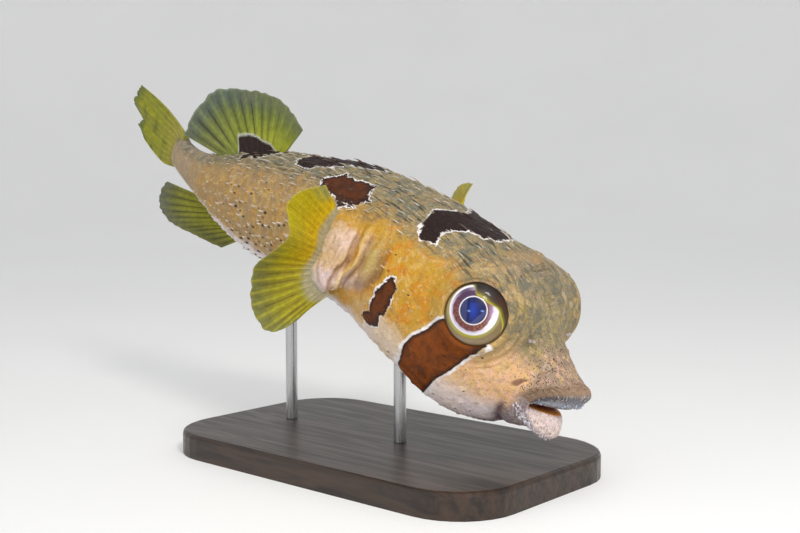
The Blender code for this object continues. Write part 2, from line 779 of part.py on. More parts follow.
def make_fins():
    fin_colour = (0.42, 0.50, 0.08)
    dorsal_path = median_rays(DORSAL_BASE, DORSAL_ANGLE, DORSAL_RAY, 90.0, 0.0)
    dorsal = sheet("dorsal_fin", (DORSAL_COUNT, dorsal_path), root_half=1.6 * MM)
    dorsal.data.materials.append(material("dorsal_fin", fin_colour, 0.4))
    combine(dorsal, [body_cutter()], "DIFFERENCE")
    anal_path = median_rays(ANAL_BASE, ANAL_ANGLE, ANAL_RAY, 270.0, ANAL_SWING)
    anal = sheet("anal_fin", (ANAL_COUNT, anal_path), root_half=1.4 * MM)
    anal.data.materials.append(material("anal_fin", fin_colour, 0.4))
    combine(anal, [body_cutter()], "DIFFERENCE")
    tail_fin = sheet("caudal_fin", (TAIL_COUNT, tail_rays()), root_half=TAIL_ROOT_HALF)
    tail_fin.data.materials.append(material("caudal_fin", fin_colour, 0.4))
    combine(tail_fin, [body_cutter()], "DIFFERENCE")
    for name, side, tips in (("pectoral_fin_right", 1, (RIGHT_BACK, RIGHT_UP, RIGHT_FORWARD)),
                             ("pectoral_fin_left", -1, (LEFT_BACK, LEFT_UP, LEFT_FORWARD))):
        fin = Pectoral(side, *tips)
        fan = sheet(name, (PECTORAL_COUNT, fin.path), steps=PECTORAL_STEPS)
        fan.data.materials.append(material(name, (0.66, 0.60, 0.04), 0.4))
        combine(fan, [fin.lobe()], "UNION")
        combine(fan, [body_cutter()], "DIFFERENCE")


def make_stand():
    metal = (0.10, 0.10, 0.11)
    outline = []
    for x, y, first in ((1, 1, 0), (-1, 1, 90), (-1, -1, 180), (1, -1, 270)):
        for step in range(9):
            a = math.radians(first + step * 90.0 / 8)
            outline.append((x * (0.5 * BASE_LONG - BASE_CORNER) + BASE_CORNER * math.cos(a),
                            y * (0.5 * BASE_WIDE - BASE_CORNER) + BASE_CORNER * math.sin(a)))
    rings = []
    for high, inset in ((0.0, 0.0), (BASE_THICK - BASE_EDGE, 0.0),
                        (BASE_THICK - 0.3 * BASE_EDGE, 0.3 * BASE_EDGE), (BASE_THICK, BASE_EDGE)):
        ring = []
        for x, y in outline:
            distance = math.hypot(x, y)
            ring.append((x * (1 - inset / distance), y * (1 - inset / distance), high))
        rings.append(np.array(ring))
    make_object("stand_base", *tube(rings), material("stand_base", metal, 0.5))
    for name, t in (("stand_rod_front", FRONT_ROD_AT), ("stand_rod_rear", REAR_ROD_AT)):
        foot = body(t, 270.0)
        turn = np.radians(np.arange(ROD_SIDES) * 360.0 / ROD_SIDES)
        ring = np.stack([ROD_RADIUS * np.cos(turn), ROD_RADIUS * np.sin(turn), 0 * turn], -1)
        ring = ring + (foot[0], foot[1], 0.0)
        rings = [ring + (0.0, 0.0, BASE_THICK + GAP), ring + (0.0, 0.0, foot[2] + 0.012)]
        rod = make_object(name, *tube(rings), material(name, metal, 0.4, 0.6))
        combine(rod, [body_cutter()], "DIFFERENCE")


def main():
    for old in list(bpy.data.objects):
        bpy.data.objects.remove(old)
    draw = random.Random(SPINE_SEED)
    make_head(draw)
    make_torso(draw)
    make_tail(draw)
    make_eye("eye_right", 1)
    make_eye("eye_left", -1)
    make_fins()
    make_stand()


main()
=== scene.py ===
"""The looks of a masked porcupinefish on its stand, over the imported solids. Metres, +Z up.

The skin, lips, spines, eyes and fins repeat the named sizes of the solids, with finer forms.
"""

import math
import random

import bpy
import numpy as np
from mathutils import Matrix, Vector


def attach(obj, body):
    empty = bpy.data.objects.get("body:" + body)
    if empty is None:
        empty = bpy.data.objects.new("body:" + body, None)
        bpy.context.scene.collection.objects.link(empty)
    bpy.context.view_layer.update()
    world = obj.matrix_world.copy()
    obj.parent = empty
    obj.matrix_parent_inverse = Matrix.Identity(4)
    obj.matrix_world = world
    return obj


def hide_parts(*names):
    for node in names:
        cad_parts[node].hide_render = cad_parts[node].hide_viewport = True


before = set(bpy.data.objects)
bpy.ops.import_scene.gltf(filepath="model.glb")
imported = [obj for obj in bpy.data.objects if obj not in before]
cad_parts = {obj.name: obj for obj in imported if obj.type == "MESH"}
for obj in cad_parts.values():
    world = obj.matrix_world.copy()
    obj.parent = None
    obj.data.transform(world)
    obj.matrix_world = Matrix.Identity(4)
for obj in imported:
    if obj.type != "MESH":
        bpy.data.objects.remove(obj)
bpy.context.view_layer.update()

MM = 0.001

# Body axis and sections, as in the solids
BODY_LENGTH = 0.300
SNOUT = np.array((0.105, 0.006, 0.036))
BEND_AT = (0.0, 0.18, 0.50, 0.80, 1.0)
HEADING = (-5.0, -5.0, 2.0, 1.0, 16.0)
PITCH = (37.0, 37.0, 16.0, 12.0, 32.0)
BANK = 3.0
AXIS_STEPS = 500
SECTION_AT = (0.0, 0.03, 0.06, 0.10, 0.15, 0.20, 0.30, 0.40,
              0.50, 0.60, 0.70, 0.78, 0.85, 0.90, 0.95, 1.0)
ABOVE = (3.9, 4.5, 5.7, 7.7, 11.0, 13.2, 12.6, 11.9, 11.6, 10.1, 8.6, 6.7, 4.8, 4.0, 3.3, 3.1)
BELOW = (3.4, 5.0, 7.0, 9.9, 12.1, 12.9, 12.6, 11.2, 10.6, 10.5, 9.6, 7.9, 5.3, 4.0, 3.2, 3.1)
HALF_WIDTH = (4.2, 5.6, 7.5, 10.1, 12.5, 13.3, 13.0, 12.1, 11.4, 10.4, 8.7, 6.7, 4.6, 3.2, 2.4, 1.8)
SQUARENESS = 0.92
PINCH = 0.34
PINCH_AT = 0.080
PINCH_SPREAD = 0.040
PINCH_HIGH = 52.0
PINCH_ROUND = 34.0
HEAD_END = 0.325
MUZZLE_START = 0.030
MUZZLE_SLANT = 0.040

# Lips, as in the solids: half width, top, bottom, front at top, bottom and sides, side height, in mm
LIP_RINGS = (
    (21.6, 13.3, -14.9, -7.2, -8.0, -18.8, -1.0),
    (18.2, 13.4, -14.8, -4.8, -6.5, -16.8, -2.2),
    (15.0, 13.8, -15.6, -1.6, -3.2, -15.4, -3.4),
    (13.0, 12.0, -13.2, 0.8, -0.4, -14.8, -4.2),
    (11.9, 5.8, -8.2, -0.6, -1.2, -16.0, -5.0),
    (10.9, 0.6, -3.9, -4.2, -4.4, -18.2, -6.2),
    (9.6, 0.2, -3.9, -7.4, -7.2, -19.8, -6.6),
    (7.4, -0.2, -3.7, -10.0, -9.6, -20.6, -6.8),
)

# Eyes and orbits, as in the solids
EYE_AT = 0.163
EYE_ABOVE = 0.065
EYE_OUT = 1.0
EYE_FACING = (0.30, 0.90, 0.25)
ORBIT_RADIUS = 13.6 * MM
ORBIT_FLAT = 1.15
ORBIT_DOME = 44.0
ORBIT_BRIM = 0.5
ORBIT_BLEND = 3.0 * MM
ORBIT_REACH = 30.0 * MM
EYE_RADIUS = 15.4 * MM
EYE_DEPTH = 9.5 * MM
EYE_SUNK = 5.0 * MM
CORNEA_RADIUS = 10.0 * MM
CORNEA_RISE = 1.0 * MM

# Gill folds, chin crease and nostrils, as in the solids
GILL_AT = 0.352
GILL_MIDDLE = 4.0
GILL_HALF = 22.0
GILL_DEPTH = 2.2 * MM
FOLD_RISE = 1.8 * MM
FOLD_SPREAD = 0.011
CREASE_AT = 0.073
CREASE_DEPTH = 1.8 * MM
CREASE_SPREAD = 0.008
NOSTRIL_AT = 0.103
NOSTRIL_PHI = 50.0

# Fins, as in the solids
FIN_ROOT = 4.0 * MM
DORSAL_BASE = (0.700, 0.82)
DORSAL_ANGLE = (132.0, 88.0, 60.0, 32.0, 3.0)
DORSAL_RAY = (19.8, 29.2, 36.5, 47.5, 47.5)
ANAL_BASE = (0.74, 0.85)
ANAL_ANGLE = (21.0, 13.0, 10.0, 4.0, -12.0)
ANAL_RAY = (20.0, 32.0, 43.0, 47.0, 37.0)
ANAL_SWING = 12.0
TAIL_SWING = 12.0
TAIL_TIP_AT = (0.0, 0.25, 0.45, 0.60, 0.80, 1.0)
TAIL_TIP_BACK = (53.8, 57.0, 56.9, 45.0, 47.2, 36.5)
TAIL_TIP_UP = (15.6, 8.0, 0.9, -2.6, -8.0, -13.0)
TAIL_BASE_HALF = 8.4
TAIL_BOW = 4.5
TAIL_ROOT = 2.0 * MM
PECTORAL_AT = 0.40
PECTORAL_OUT = 6.0 * MM
PECTORAL_TURN = 40.0
LOBE_BACK = (6.0, 7.0, 7.6, 7.7, 7.6, 6.5, 4.0, 1.0, -1.7)
LOBE_UP = (21.0, 13.0, 6.0, 0.0, -5.0, -9.0, -13.7, -16.5, -19.0)
LOBE_INNER = -15.0
LOBE_BEND = 4.5
LOBE_NARROW = 0.55
LOBE_THICK = (4.6, 4.2, 3.2, 1.9, 1.0)
RIGHT_BACK = (11.0, 19.0, 24.5, 18.6, 23.0, 31.0, 27.7, 17.0, 4.5)
RIGHT_UP = (32.0, 29.5, 24.0, 11.0, 0.6, -15.0, -33.3, -45.0, -34.0)
RIGHT_FORWARD = (8.0, 20.0, 27.0, 26.0, 20.0, 10.0, 3.0, 0.0, 0.0)
LEFT_BACK = (9.0, 20.0, 32.0, 36.0, 37.0, 34.0, 27.0, 17.0, 6.0)
LEFT_UP = (36.5, 33.0, 24.0, 11.0, -2.0, -15.0, -30.0, -39.0, -35.0)
LEFT_FORWARD = (4.0, 1.0, 1.0, 4.0, 8.0, 9.0, 6.0, 3.0, 0.0)

# The main fold over the root of a pectoral fin, in its plane: the back place by the height
FOLD_UP = (-11.7, -6.8, -0.4, 6.3, 13.4)
FOLD_BACK = (-7.4, -8.8, -10.4, -11.6, -13.6)

# The lobe over that root, in mm: soft pads as rise, place behind the main fold, height and half sizes,
# folds as rise or depth, place behind the main fold and half width, then its rounded outline
LOBE_PADS = ((3.0, 7.0, -1.5, 5.2, 13.5), (1.6, -6.4, 1.0, 4.2, 10.0))
LOBE_FOLDS = ((1.7, 0.0, 1.2), (-1.9, 2.9, 1.3), (-1.9, -2.6, 1.2),
              (1.4, -6.0, 2.5), (-1.9, -10.6, 1.9), (0.8, -14.0, 2.2))
LOBE_HALF = 21.5
LOBE_MERGE = 5.0
LOBE_SINK = 16.0
LOBE_SOFTENING = 14
SOFTENING_SHARE = 0.8

# Wrinkles: their rise in mm, the place along the body of some, and the reach and length of the eyes' ones
WAVES_WIDE = 0.16
WAVES_FINE = 0.10
GILL_WAVES = 0.42
GILL_WAVES_AT = 0.385
CHIN_WAVES = 0.30
CHIN_WAVES_AT = 0.125
BAR_FOLD = 0.9
BAR_BULGE = 0.5
BAR_FOLD_AT = 0.205
LIP_CREASES = 0.16
LIP_GRAIN = 0.22
EYE_WAVES = 0.42
EYE_WAVES_OUT = 6.0 * MM
EYE_WAVE_LENGTH = 2.9 * MM

# Grid of the skin: columns around, rows of the lips between two rings, of the head and of the rest
SKIN_COLUMNS = 400
LIP_STEPS = 10
HEAD_ROWS = 150
BODY_ROWS = 320
END_ROWS = 8

# The rolled lid of each orbit, in the fine skin
LID_INNER = 13.1 * MM
LID_ROLL_OUT = 1.5 * MM
LID_ROLL = 1.3 * MM
LID_RISE = 1.1 * MM
LID_WALL = 0.9 * MM
SOCKET_DEPTH = 5.0 * MM
WARP_REACH = 3.0 * MM
WARP_TIGHT = 0.35

# Spines of the fine skin
SPINE_SEED = 11
SPINE_SIDES = 6
SPINE_PROFILE = ((0.0, 1.0), (0.25, 1.0), (0.5, 0.85), (0.75, 0.55), (0.93, 0.26))
SPINE_FROM = 0.072
SPINE_TO = 0.885
BAKE_PATCH = 0.0015
SPINE_GAP = 9.0
SPINE_JITTER = (0.008, 3.4)

# Sheaths over the spines, their pale smudges and dark spots, and where no spine grows
SHEATH_HALF = 1.30 * MM
SHEATH_RISE = 0.65 * MM
SHEATH_CELLS = 13
SHEATH_DEEP = 4.0 * MM
SMUDGE_HALF = 0.95 * MM
SPOT_BEFORE = 0.9 * MM
CLEAR_OF_EYE = 3.6 * MM
CLEAR_PATCHES = (
    (0.000, 0.060, -91.0, 91.0),
    (0.000, 0.105, -91.0, 20.0),
    (0.325, 0.430, -44.0, 34.0),
    (0.690, 0.830, 83.0, 91.0),
    (0.730, 0.860, -91.0, -80.0),
    (0.880, 1.010, -91.0, 91.0),
)

# Colours, as linear light
GOLD = (0.58, 0.32, 0.036)
ORANGE = (0.64, 0.25, 0.015)
PALE_GOLD = (0.80, 0.56, 0.20)
TAN = (0.42, 0.265, 0.105)
TAN_BLOB = (0.60, 0.32, 0.050)
BACK = (0.285, 0.240, 0.140)
BACK_GREY = (0.165, 0.165, 0.125)
SNOUT_TAN = (0.78, 0.47, 0.23)
SNOUT_GREY = (0.32, 0.24, 0.19)
BELLY = (0.86, 0.77, 0.80)
LILAC = (0.40, 0.31, 0.38)
# painted shade in the chin's crease and under the chin
PLUM_SHADE = (0.11, 0.055, 0.075)
BLOTCH_DARK = (0.022, 0.010, 0.008)
BLOTCH_RED = (0.235, 0.056, 0.005)
BLOTCH_EDGE = (0.93, 0.88, 0.88)
SPINE_PALE = (0.78, 0.69, 0.61)
AXIL = (0.035, 0.02, 0.012)
# painted shade deep inside the mouth
MOUTH_DEEP_SHADE = (0.16, 0.035, 0.022)
MOUTH_ORANGE = (0.85, 0.33, 0.030)
LIP_PINK = (0.86, 0.70, 0.68)
LIP_WHITE = (0.72, 0.82, 0.95)
LOBE_PINK = (0.72, 0.49, 0.29)
LOBE_LILAC = (0.84, 0.66, 0.66)
LOBE_PEACH = (0.84, 0.63, 0.54)
LOBE_REAR = (0.60, 0.42, 0.19)
# the lobe's groove, slit, brown and hollow colours are painted shade; its ridge is cream with painted
# highlight, its shine a painted sheen
LOBE_GROOVE_SHADE = (0.40, 0.22, 0.11)
LOBE_RIDGE_AND_HIGHLIGHT = (0.95, 0.72, 0.36)
LOBE_SLIT_SHADE = (0.26, 0.13, 0.055)
LOBE_OLIVE = (0.50, 0.38, 0.12)
LOBE_GREY = (0.46, 0.32, 0.22)
LOBE_BROWN_SHADE = (0.30, 0.17, 0.07)
LOBE_PAINTED_SHINE = (0.95, 0.84, 0.80)
LOBE_HOLLOW_SHADE = (0.24, 0.10, 0.035)
LOBE_FRINGE = (0.36, 0.35, 0.24)
CREAM_FLECK = (0.90, 0.76, 0.58)
BROWN_FLECK = (0.30, 0.15, 0.05)
DARK_FLECK = (0.24, 0.13, 0.06)
BLOTCH_FLECK = (0.30, 0.15, 0.06)
BACK_OLIVE = (0.46, 0.33, 0.07)
LINE_DARK = (0.045, 0.045, 0.035)
LINE_PALE = (0.66, 0.66, 0.52)
FRECKLE = (0.060, 0.036, 0.026)
CHEEK_CREAM = (0.86, 0.66, 0.46)
CHIN_PINK = (0.98, 0.82, 0.76)
TAIL_GREY = (0.38, 0.30, 0.22)
BROW_OLIVE = (0.40, 0.32, 0.11)
EYE_SURROUND = (0.60, 0.40, 0.13)
THROAT_STRIPES = ((0.13, 0.085, 0.085), (0.34, 0.26, 0.28))
THROAT_PALE = (0.90, 0.80, 0.86)
LIP_BROWN = (0.24, 0.17, 0.13)
# striped combs under the upper lip, darkened with painted shade
LIP_COMBS_AND_SHADE = ((0.075, 0.056, 0.056), (0.34, 0.34, 0.40))
LIP_SPECKLE = (0.40, 0.27, 0.20)
# painted shade in the fold above the mouth's corner
CORNER_FOLD_SHADE = (0.10, 0.06, 0.06)
CORNER_STRIPES = ((0.12, 0.08, 0.075), (0.36, 0.28, 0.28))
SNOUT_MARK = (0.21, 0.085, 0.065)
LID_FOLD = (0.26, 0.20, 0.10)
LID_TAN = (0.60, 0.42, 0.22)
LID_PINK = (0.90, 0.62, 0.45)
LID_LINE = (0.055, 0.03, 0.012)
# painted shade down the lids' inner wall into the socket
LID_SOCKET_SHADE = (0.025, 0.014, 0.006)
WOOD_TONES = ((0.018, 0.011, 0.008), (0.055, 0.030, 0.018))
STEEL_TONES = ((0.42, 0.42, 0.43), (0.60, 0.60, 0.61))
SPINE_FOOT = (0.10, 0.045, 0.025)
SPINE_TIP = (0.92, 0.89, 0.86)

# Mottles of the face: size in mm, seed, colour and strength, and of the flank: size, seed and colour
FACE_MOTTLES = ((9.0, 11.0, (0.80, 0.56, 0.18), 0.50), (7.0, 12.0, (0.84, 0.50, 0.42), 0.50),
                (5.0, 13.0, (0.30, 0.25, 0.24), 0.35))
FLANK_MOTTLES = ((11.0, 14.0, (0.34, 0.25, 0.19)), (13.0, 15.0, (0.56, 0.38, 0.12)))

# The small reddish mark beside the mouth, on the right only: place, direction and half sizes in mm
MARK_AT = 0.0695
MARK_ANGLE = 12.0
MARK_ALONG = (0.53, 0.85)
MARK_HALF = (3.9, 1.7)

# Reach of the blotches' edges in mm, and the blotches of one side: how red, how ragged, how wide the
# white edge in mm, then the outline as points of t along the body and angle above the side
BLOTCH_REACH = 9.0
BLOTCHES = (
    (1.0, 0.16, 1.6, ((0.126, 20), (0.150, 16), (0.176, 12), (0.200, 11), (0.208, 0), (0.222, -10),
        (0.229, -20), (0.228, -32), (0.234, -46), (0.226, -64), (0.190, -64), (0.176, -52),
        (0.167, -38), (0.161, -27), (0.154, -19), (0.146, -10), (0.138, 3))),
    (0.6, 0.7, 0.7, ((0.304, 3), (0.298, 8), (0.292, 9), (0.281, 4), (0.281, -5), (0.279, -14),
        (0.288, -16), (0.286, -27), (0.299, -31), (0.314, -34), (0.326, -31), (0.321, -25),
        (0.309, -20), (0.312, -11), (0.309, -4))),
    (0.0, 0.9, 0.9, ((0.315, 49), (0.305, 42), (0.295, 41), (0.283, 45), (0.291, 57), (0.269, 72),
        (0.253, 74), (0.241, 84), (0.241, 91), (0.306, 91), (0.318, 80), (0.327, 69), (0.322, 60))),
    (0.45, 1.0, 0.7, ((0.505, 46), (0.478, 59), (0.468, 57), (0.450, 60), (0.420, 61), (0.418, 52),
        (0.404, 45), (0.416, 41), (0.414, 37), (0.434, 38), (0.461, 35), (0.474, 37), (0.498, 37))),
    (0.0, 1.0, 0.7, ((0.605, 62), (0.590, 58), (0.563, 53), (0.545, 60), (0.523, 61), (0.491, 75),
        (0.470, 83), (0.460, 91), (0.612, 91))),
    (0.0, 0.8, 0.7, ((0.750, 55), (0.743, 49), (0.733, 61), (0.720, 59), (0.709, 54), (0.695, 59),
        (0.684, 74), (0.680, 91), (0.765, 91), (0.766, 70))),
)


def through(knots, values):
    """A smooth curve through the knots that doesn't overshoot."""
    x = np.array(knots, float)
    y = np.array(values, float)
    h = np.diff(x)
    d = np.diff(y) / h
    m = np.zeros(len(x))
    for i in range(1, len(x) - 1):
        if d[i - 1] * d[i] > 0:
            before = 2 * h[i] + h[i - 1]
            after = h[i] + 2 * h[i - 1]
            m[i] = (before + after) / (before / d[i - 1] + after / d[i])

    def end_slope(h0, h1, d0, d1):
        slope = ((2 * h0 + h1) * d0 - h0 * d1) / (h0 + h1)
        if np.sign(slope) != np.sign(d0):
            return 0.0
        if np.sign(d0) != np.sign(d1) and abs(slope) > 3 * abs(d0):
            return 3 * d0
        return slope

    m[0] = end_slope(h[0], h[1], d[0], d[1])
    m[-1] = end_slope(h[-1], h[-2], d[-1], d[-2])

    def curve(q):
        q = np.clip(np.asarray(q, float), x[0], x[-1])
        i = np.clip(np.searchsorted(x, q, side="right") - 1, 0, len(h) - 1)
        s = (q - x[i]) / h[i]
        start = y[i] * (1 + 2 * s) * (1 - s) ** 2 + m[i] * h[i] * s * (1 - s) ** 2
        end = y[i + 1] * s * s * (3 - 2 * s) + m[i + 1] * h[i] * s * s * (s - 1)
        return start + end

    return curve


heading_at = through(BEND_AT, HEADING)
pitch_at = through(BEND_AT, PITCH)
above_at = through(SECTION_AT, ABOVE)
below_at = through(SECTION_AT, BELOW)
width_at = through(SECTION_AT, HALF_WIDTH)


def bell(x):
    """One at zero, falling off smoothly on both sides."""
    return np.exp(-x * x)


def smooth(low, high, x):
    """Rises smoothly from 0 at low to 1 at high; low may be the larger."""
    s = np.clip((np.asarray(x, float) - low) / (high - low), 0.0, 1.0)
    return s * s * (3.0 - 2.0 * s)


def mix(first, second, share):
    """A colour or a field of colours between two others."""
    share = np.asarray(share, float)[..., None]
    return np.asarray(first, float) * (1.0 - share) + np.asarray(second, float) * share


def painted(tone, *layers):
    """A tone with colours laid over it one after another, each by its own share."""
    for colour, share in layers:
        tone = mix(tone, colour, share)
    return tone


def unit(vectors):
    """Vectors of length one, along the last axis."""
    return vectors / np.linalg.norm(vectors, axis=-1, keepdims=True)


def ripple(place, size, seed=0.0):
    """A soft wavy field from -1 to 1 over places, with waves about size long."""
    p = place * (2.0 * math.pi / size)
    x = p[..., 0] + seed
    y = p[..., 1] + 1.7 * seed
    z = p[..., 2] - 0.6 * seed
    first = np.sin(x + 1.3 * np.sin(0.7 * y + 0.5)) * np.cos(0.8 * z + np.sin(0.9 * x))
    second = np.sin(1.7 * y + 0.9 * np.sin(1.1 * z + 1.0)) * np.cos(1.3 * x - 0.6 * z)
    return 0.5 * (first + second)


def body_axes(t):
    """Forward, right and up at t along the body."""
    heading = np.radians(heading_at(t))
    pitch = np.radians(pitch_at(t))
    bank = math.radians(BANK)
    zero = np.zeros_like(heading)
    along, aside = np.cos(heading), -np.sin(heading)
    forward = np.stack([along * np.cos(pitch), aside * np.cos(pitch), -np.sin(pitch)], -1)
    level = np.stack([aside, -along, zero], -1)
    upright = np.stack([along * np.sin(pitch), aside * np.sin(pitch), np.cos(pitch)], -1)
    right = level * math.cos(bank) + upright * math.sin(bank)
    up = upright * math.cos(bank) - level * math.sin(bank)
    return forward, right, up


AXIS_T = np.linspace(0.0, 1.0, AXIS_STEPS + 1)
AXIS_FORWARD = body_axes(AXIS_T)[0]
AXIS_STEP = BODY_LENGTH / AXIS_STEPS
AXIS_BETWEEN = 0.5 * (AXIS_FORWARD[1:] + AXIS_FORWARD[:-1])
AXIS_PLACE = SNOUT - np.vstack([np.zeros(3), np.cumsum(AXIS_BETWEEN, 0) * AXIS_STEP])


def axis_point(t):
    """A place on the body's axis, also a little beyond its ends."""
    t = np.asarray(t, float)
    place = np.stack([np.interp(t, AXIS_T, AXIS_PLACE[:, k]) for k in range(3)], -1)
    beyond = (t - np.clip(t, 0.0, 1.0))[..., None] * BODY_LENGTH
    return place - beyond * body_axes(t)[0]


def size_at(t):
    """Half width, height above and height below the axis, in metres."""
    share = BODY_LENGTH / 100.0
    return width_at(t) * share, above_at(t) * share, below_at(t) * share


def orbit(side):
    """The middle of an orbit's rim and the way it faces; side is 1 on the right, -1 on the left."""
    forward, right, up = body_axes(np.array(EYE_AT))
    half = size_at(EYE_AT)[0]
    middle = axis_point(EYE_AT) + up * EYE_ABOVE * BODY_LENGTH + right * side * EYE_OUT * half
    facing = forward * EYE_FACING[0] + right * side * EYE_FACING[1] + up * EYE_FACING[2]
    return middle, facing / np.linalg.norm(facing)


ORBITS = {side: orbit(side) for side in (1, -1)}


def orbit_frame(side):
    """The way towards the front and the way up in an orbit's plane."""
    facing = ORBITS[side][1]
    forward = body_axes(np.array(EYE_AT))[0]
    level = np.array((forward[0], forward[1], 0.0))
    ahead = unit(level - facing * (level @ facing))
    over = np.cross(facing, ahead) * side
    return ahead, over


def raise_orbits(place):
    """Swells the head up to the rim of each orbit."""
    for middle, facing in ORBITS.values():
        start = (place - middle) @ facing
        out = start
        aside = np.linalg.norm(place - middle - out[..., None] * facing, axis=-1)
        flat = ORBIT_FLAT * ORBIT_RADIUS
        dome = ORBIT_DOME * (flat ** 2 - np.maximum(aside, flat) ** 2)
        swell = 0.5 * (dome - out + np.sqrt((dome - out) ** 2 + ORBIT_BLEND ** 2))
        out = out + np.where(out > -ORBIT_REACH, swell, 0.0)
        brim = ORBIT_BRIM * np.maximum(aside - ORBIT_RADIUS, 0.0)
        press = 0.5 * (out - brim + np.sqrt((out - brim) ** 2 + ORBIT_BLEND ** 2 / 4.0))
        press = press * bell(np.maximum(aside - ORBIT_RADIUS, 0.0) / ORBIT_RADIUS)
        place = place + (out - start - press)[..., None] * facing
    return place


def side_angle(phi):
    """The angle above the side, from -90 on the belly to 90 on the back."""
    return 90.0 - np.abs((np.asarray(phi, float) + 90.0) % 360.0 - 180.0)


def relief(t, phi):
    """How far folds stand out from the plain body."""
    along_gill = bell(((side_angle(phi) - GILL_MIDDLE) / GILL_HALF) ** 2)
    slit = bell((t - GILL_AT) / (0.45 * FOLD_SPREAD))
    folds = bell((t - GILL_AT - 1.6 * FOLD_SPREAD) / FOLD_SPREAD)
    folds = folds + 0.5 * bell((t - GILL_AT + 1.5 * FOLD_SPREAD) / FOLD_SPREAD)
    chin = np.clip(-np.sin(np.radians(phi)) + 0.25, 0.0, 1.0)
    crease = bell((t - CREASE_AT) / CREASE_SPREAD) * chin
    return along_gill * (FOLD_RISE * folds - GILL_DEPTH * slit) - CREASE_DEPTH * crease


def plain_body(t, phi):
    """The body's surface before the orbits are raised."""
    t = np.asarray(t, float)
    phi = np.asarray(phi, float)
    right, up = body_axes(t)[1:]
    half, above, below = size_at(t)
    c = np.cos(np.radians(phi))
    s = np.sin(np.radians(phi))
    more = relief(t, phi)
    height_angle = side_angle(phi)
    pinch = PINCH * bell((t - PINCH_AT) / PINCH_SPREAD) * bell((height_angle - PINCH_HIGH) / PINCH_ROUND)
    aside = (half + more) * (1.0 - pinch) * np.sign(c) * np.abs(c) ** SQUARENESS
    high = (np.where(s > 0, above, below) + more) * np.sign(s) * np.abs(s) ** SQUARENESS
    return axis_point(t) + aside[..., None] * right + high[..., None] * up


def body(t, phi):
    """The body's surface; phi is 0 on the right, 90 on the back, 180 on the left, 270 below."""
    return raise_orbits(plain_body(t, phi))


def lip_ring(sizes, phi):
    """One ring of the lips, from its sizes in mm about the snout."""
    half, top, bottom, front_top, front_bottom, front_side, side_up = sizes
    forward, right, up = body_axes(np.array(0.0))
    c = np.cos(np.radians(phi))
    s = np.sin(np.radians(phi))
    aside = half * c
    high = np.where(s > 0, top, -bottom) * s + side_up * c * c
    ahead = np.where(s > 0, front_top, front_bottom) * s * s + front_side * c * c
    place = ahead[:, None] * forward + aside[:, None] * right + high[:, None] * up
    return SNOUT + place * MM


def head_t(share, phi):
    """t at a share of the way from the muzzle's slanting front ring to the head's end."""
    slant = MUZZLE_SLANT * np.cos(np.radians(phi)) ** 2
    return (MUZZLE_START + slant) * (1.0 - share) + HEAD_END * share


def share_of_head(t, phi):
    """The share that head_t turns into this t."""
    slant = MUZZLE_SLANT * np.cos(np.radians(phi)) ** 2
    start = MUZZLE_START + slant
    return (t - start) / (HEAD_END - start)


def smooth_rings(rings, keep, steps):
    """Rows between rings of points, on smooth curves through them, up to the ring numbered keep."""
    rings = np.array(rings)
    gap = np.linalg.norm(np.diff(rings, axis=0), axis=-1).mean(1)
    slope = np.diff(rings, axis=0) / gap[:, None, None]
    tangent = np.empty_like(rings)
    tangent[0] = slope[0]
    tangent[-1] = slope[-1]
    for i in range(1, len(rings) - 1):
        tangent[i] = (slope[i - 1] * gap[i] + slope[i] * gap[i - 1]) / (gap[i - 1] + gap[i])
    rows = []
    numbers = []
    for i in range(keep):
        for k in range(steps):
            s = k / steps
            first = rings[i] * (1 + 2 * s) * (1 - s) ** 2 + tangent[i] * gap[i] * s * (1 - s) ** 2
            second = rings[i + 1] * s * s * (3 - 2 * s) + tangent[i + 1] * gap[i] * s * s * (s - 1)
            rows.append(first + second)
            numbers.append(i + s)
    return rows, numbers


def grid_normals(grid):
    """Outward normals of a grid of rows that close around."""
    around = np.roll(grid, -1, axis=1) - np.roll(grid, 1, axis=1)
    along = np.gradient(grid, axis=0)
    return unit(np.cross(around, along) + 1e-15)


def set_layer(mesh, name, values):
    """Stores a number, a vector or, under the name tint or patch, a colour for each point of a mesh."""
    values = np.asarray(values, np.float32)
    kind, field = ("FLOAT", "value") if values.ndim == 1 else ("FLOAT_VECTOR", "vector")
    if name in ("tint", "patch"):
        kind, field = "FLOAT_COLOR", "color"
        values = np.concatenate([np.clip(values, 0.0, 1.0), np.ones((len(values), 1), np.float32)], -1)
    mesh.attributes.new(name, kind, "POINT").data.foreach_set(field, values.ravel())


def add_piece(name, points, faces, finish):
    """A piece that rides on the one body and takes its finish from a slot."""
    mesh = bpy.data.meshes.new(name)
    mesh.from_pydata(np.asarray(points, float).tolist(), [], faces)
    mesh.update()
    mesh.shade_smooth()
    mesh.materials.append(finish)
    piece = bpy.data.objects.new(name, mesh)
    bpy.context.scene.collection.objects.link(piece)
    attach(piece, "root")
    return piece


def strip_faces(rows, columns, closed=True):
    """Quads of a grid of rows, closed around or open."""
    count = columns if closed else columns - 1
    j, i = np.meshgrid(np.arange(rows - 1), np.arange(count), indexing="ij")
    after = (i + 1) % columns
    ahead = (j + 1) * columns
    quads = np.stack([j * columns + i, ahead + i, ahead + after, j * columns + after], -1)
    return quads.reshape(-1, 4)


def capped(grid, ends, turned):
    """Points and faces of a grid of closed rows with a point over each end; turned flips the faces."""
    rows, columns = grid.shape[:2]
    points = np.concatenate([grid.reshape(-1, 3), ends])
    faces = strip_faces(rows, columns).tolist()
    first = rows * columns
    last = first - columns
    for i in range(columns):
        after = (i + 1) % columns
        faces.append((first, i, after))
        faces.append((first + 1, last + after, last + i))
    return points, [face[::-1] for face in faces] if turned else faces


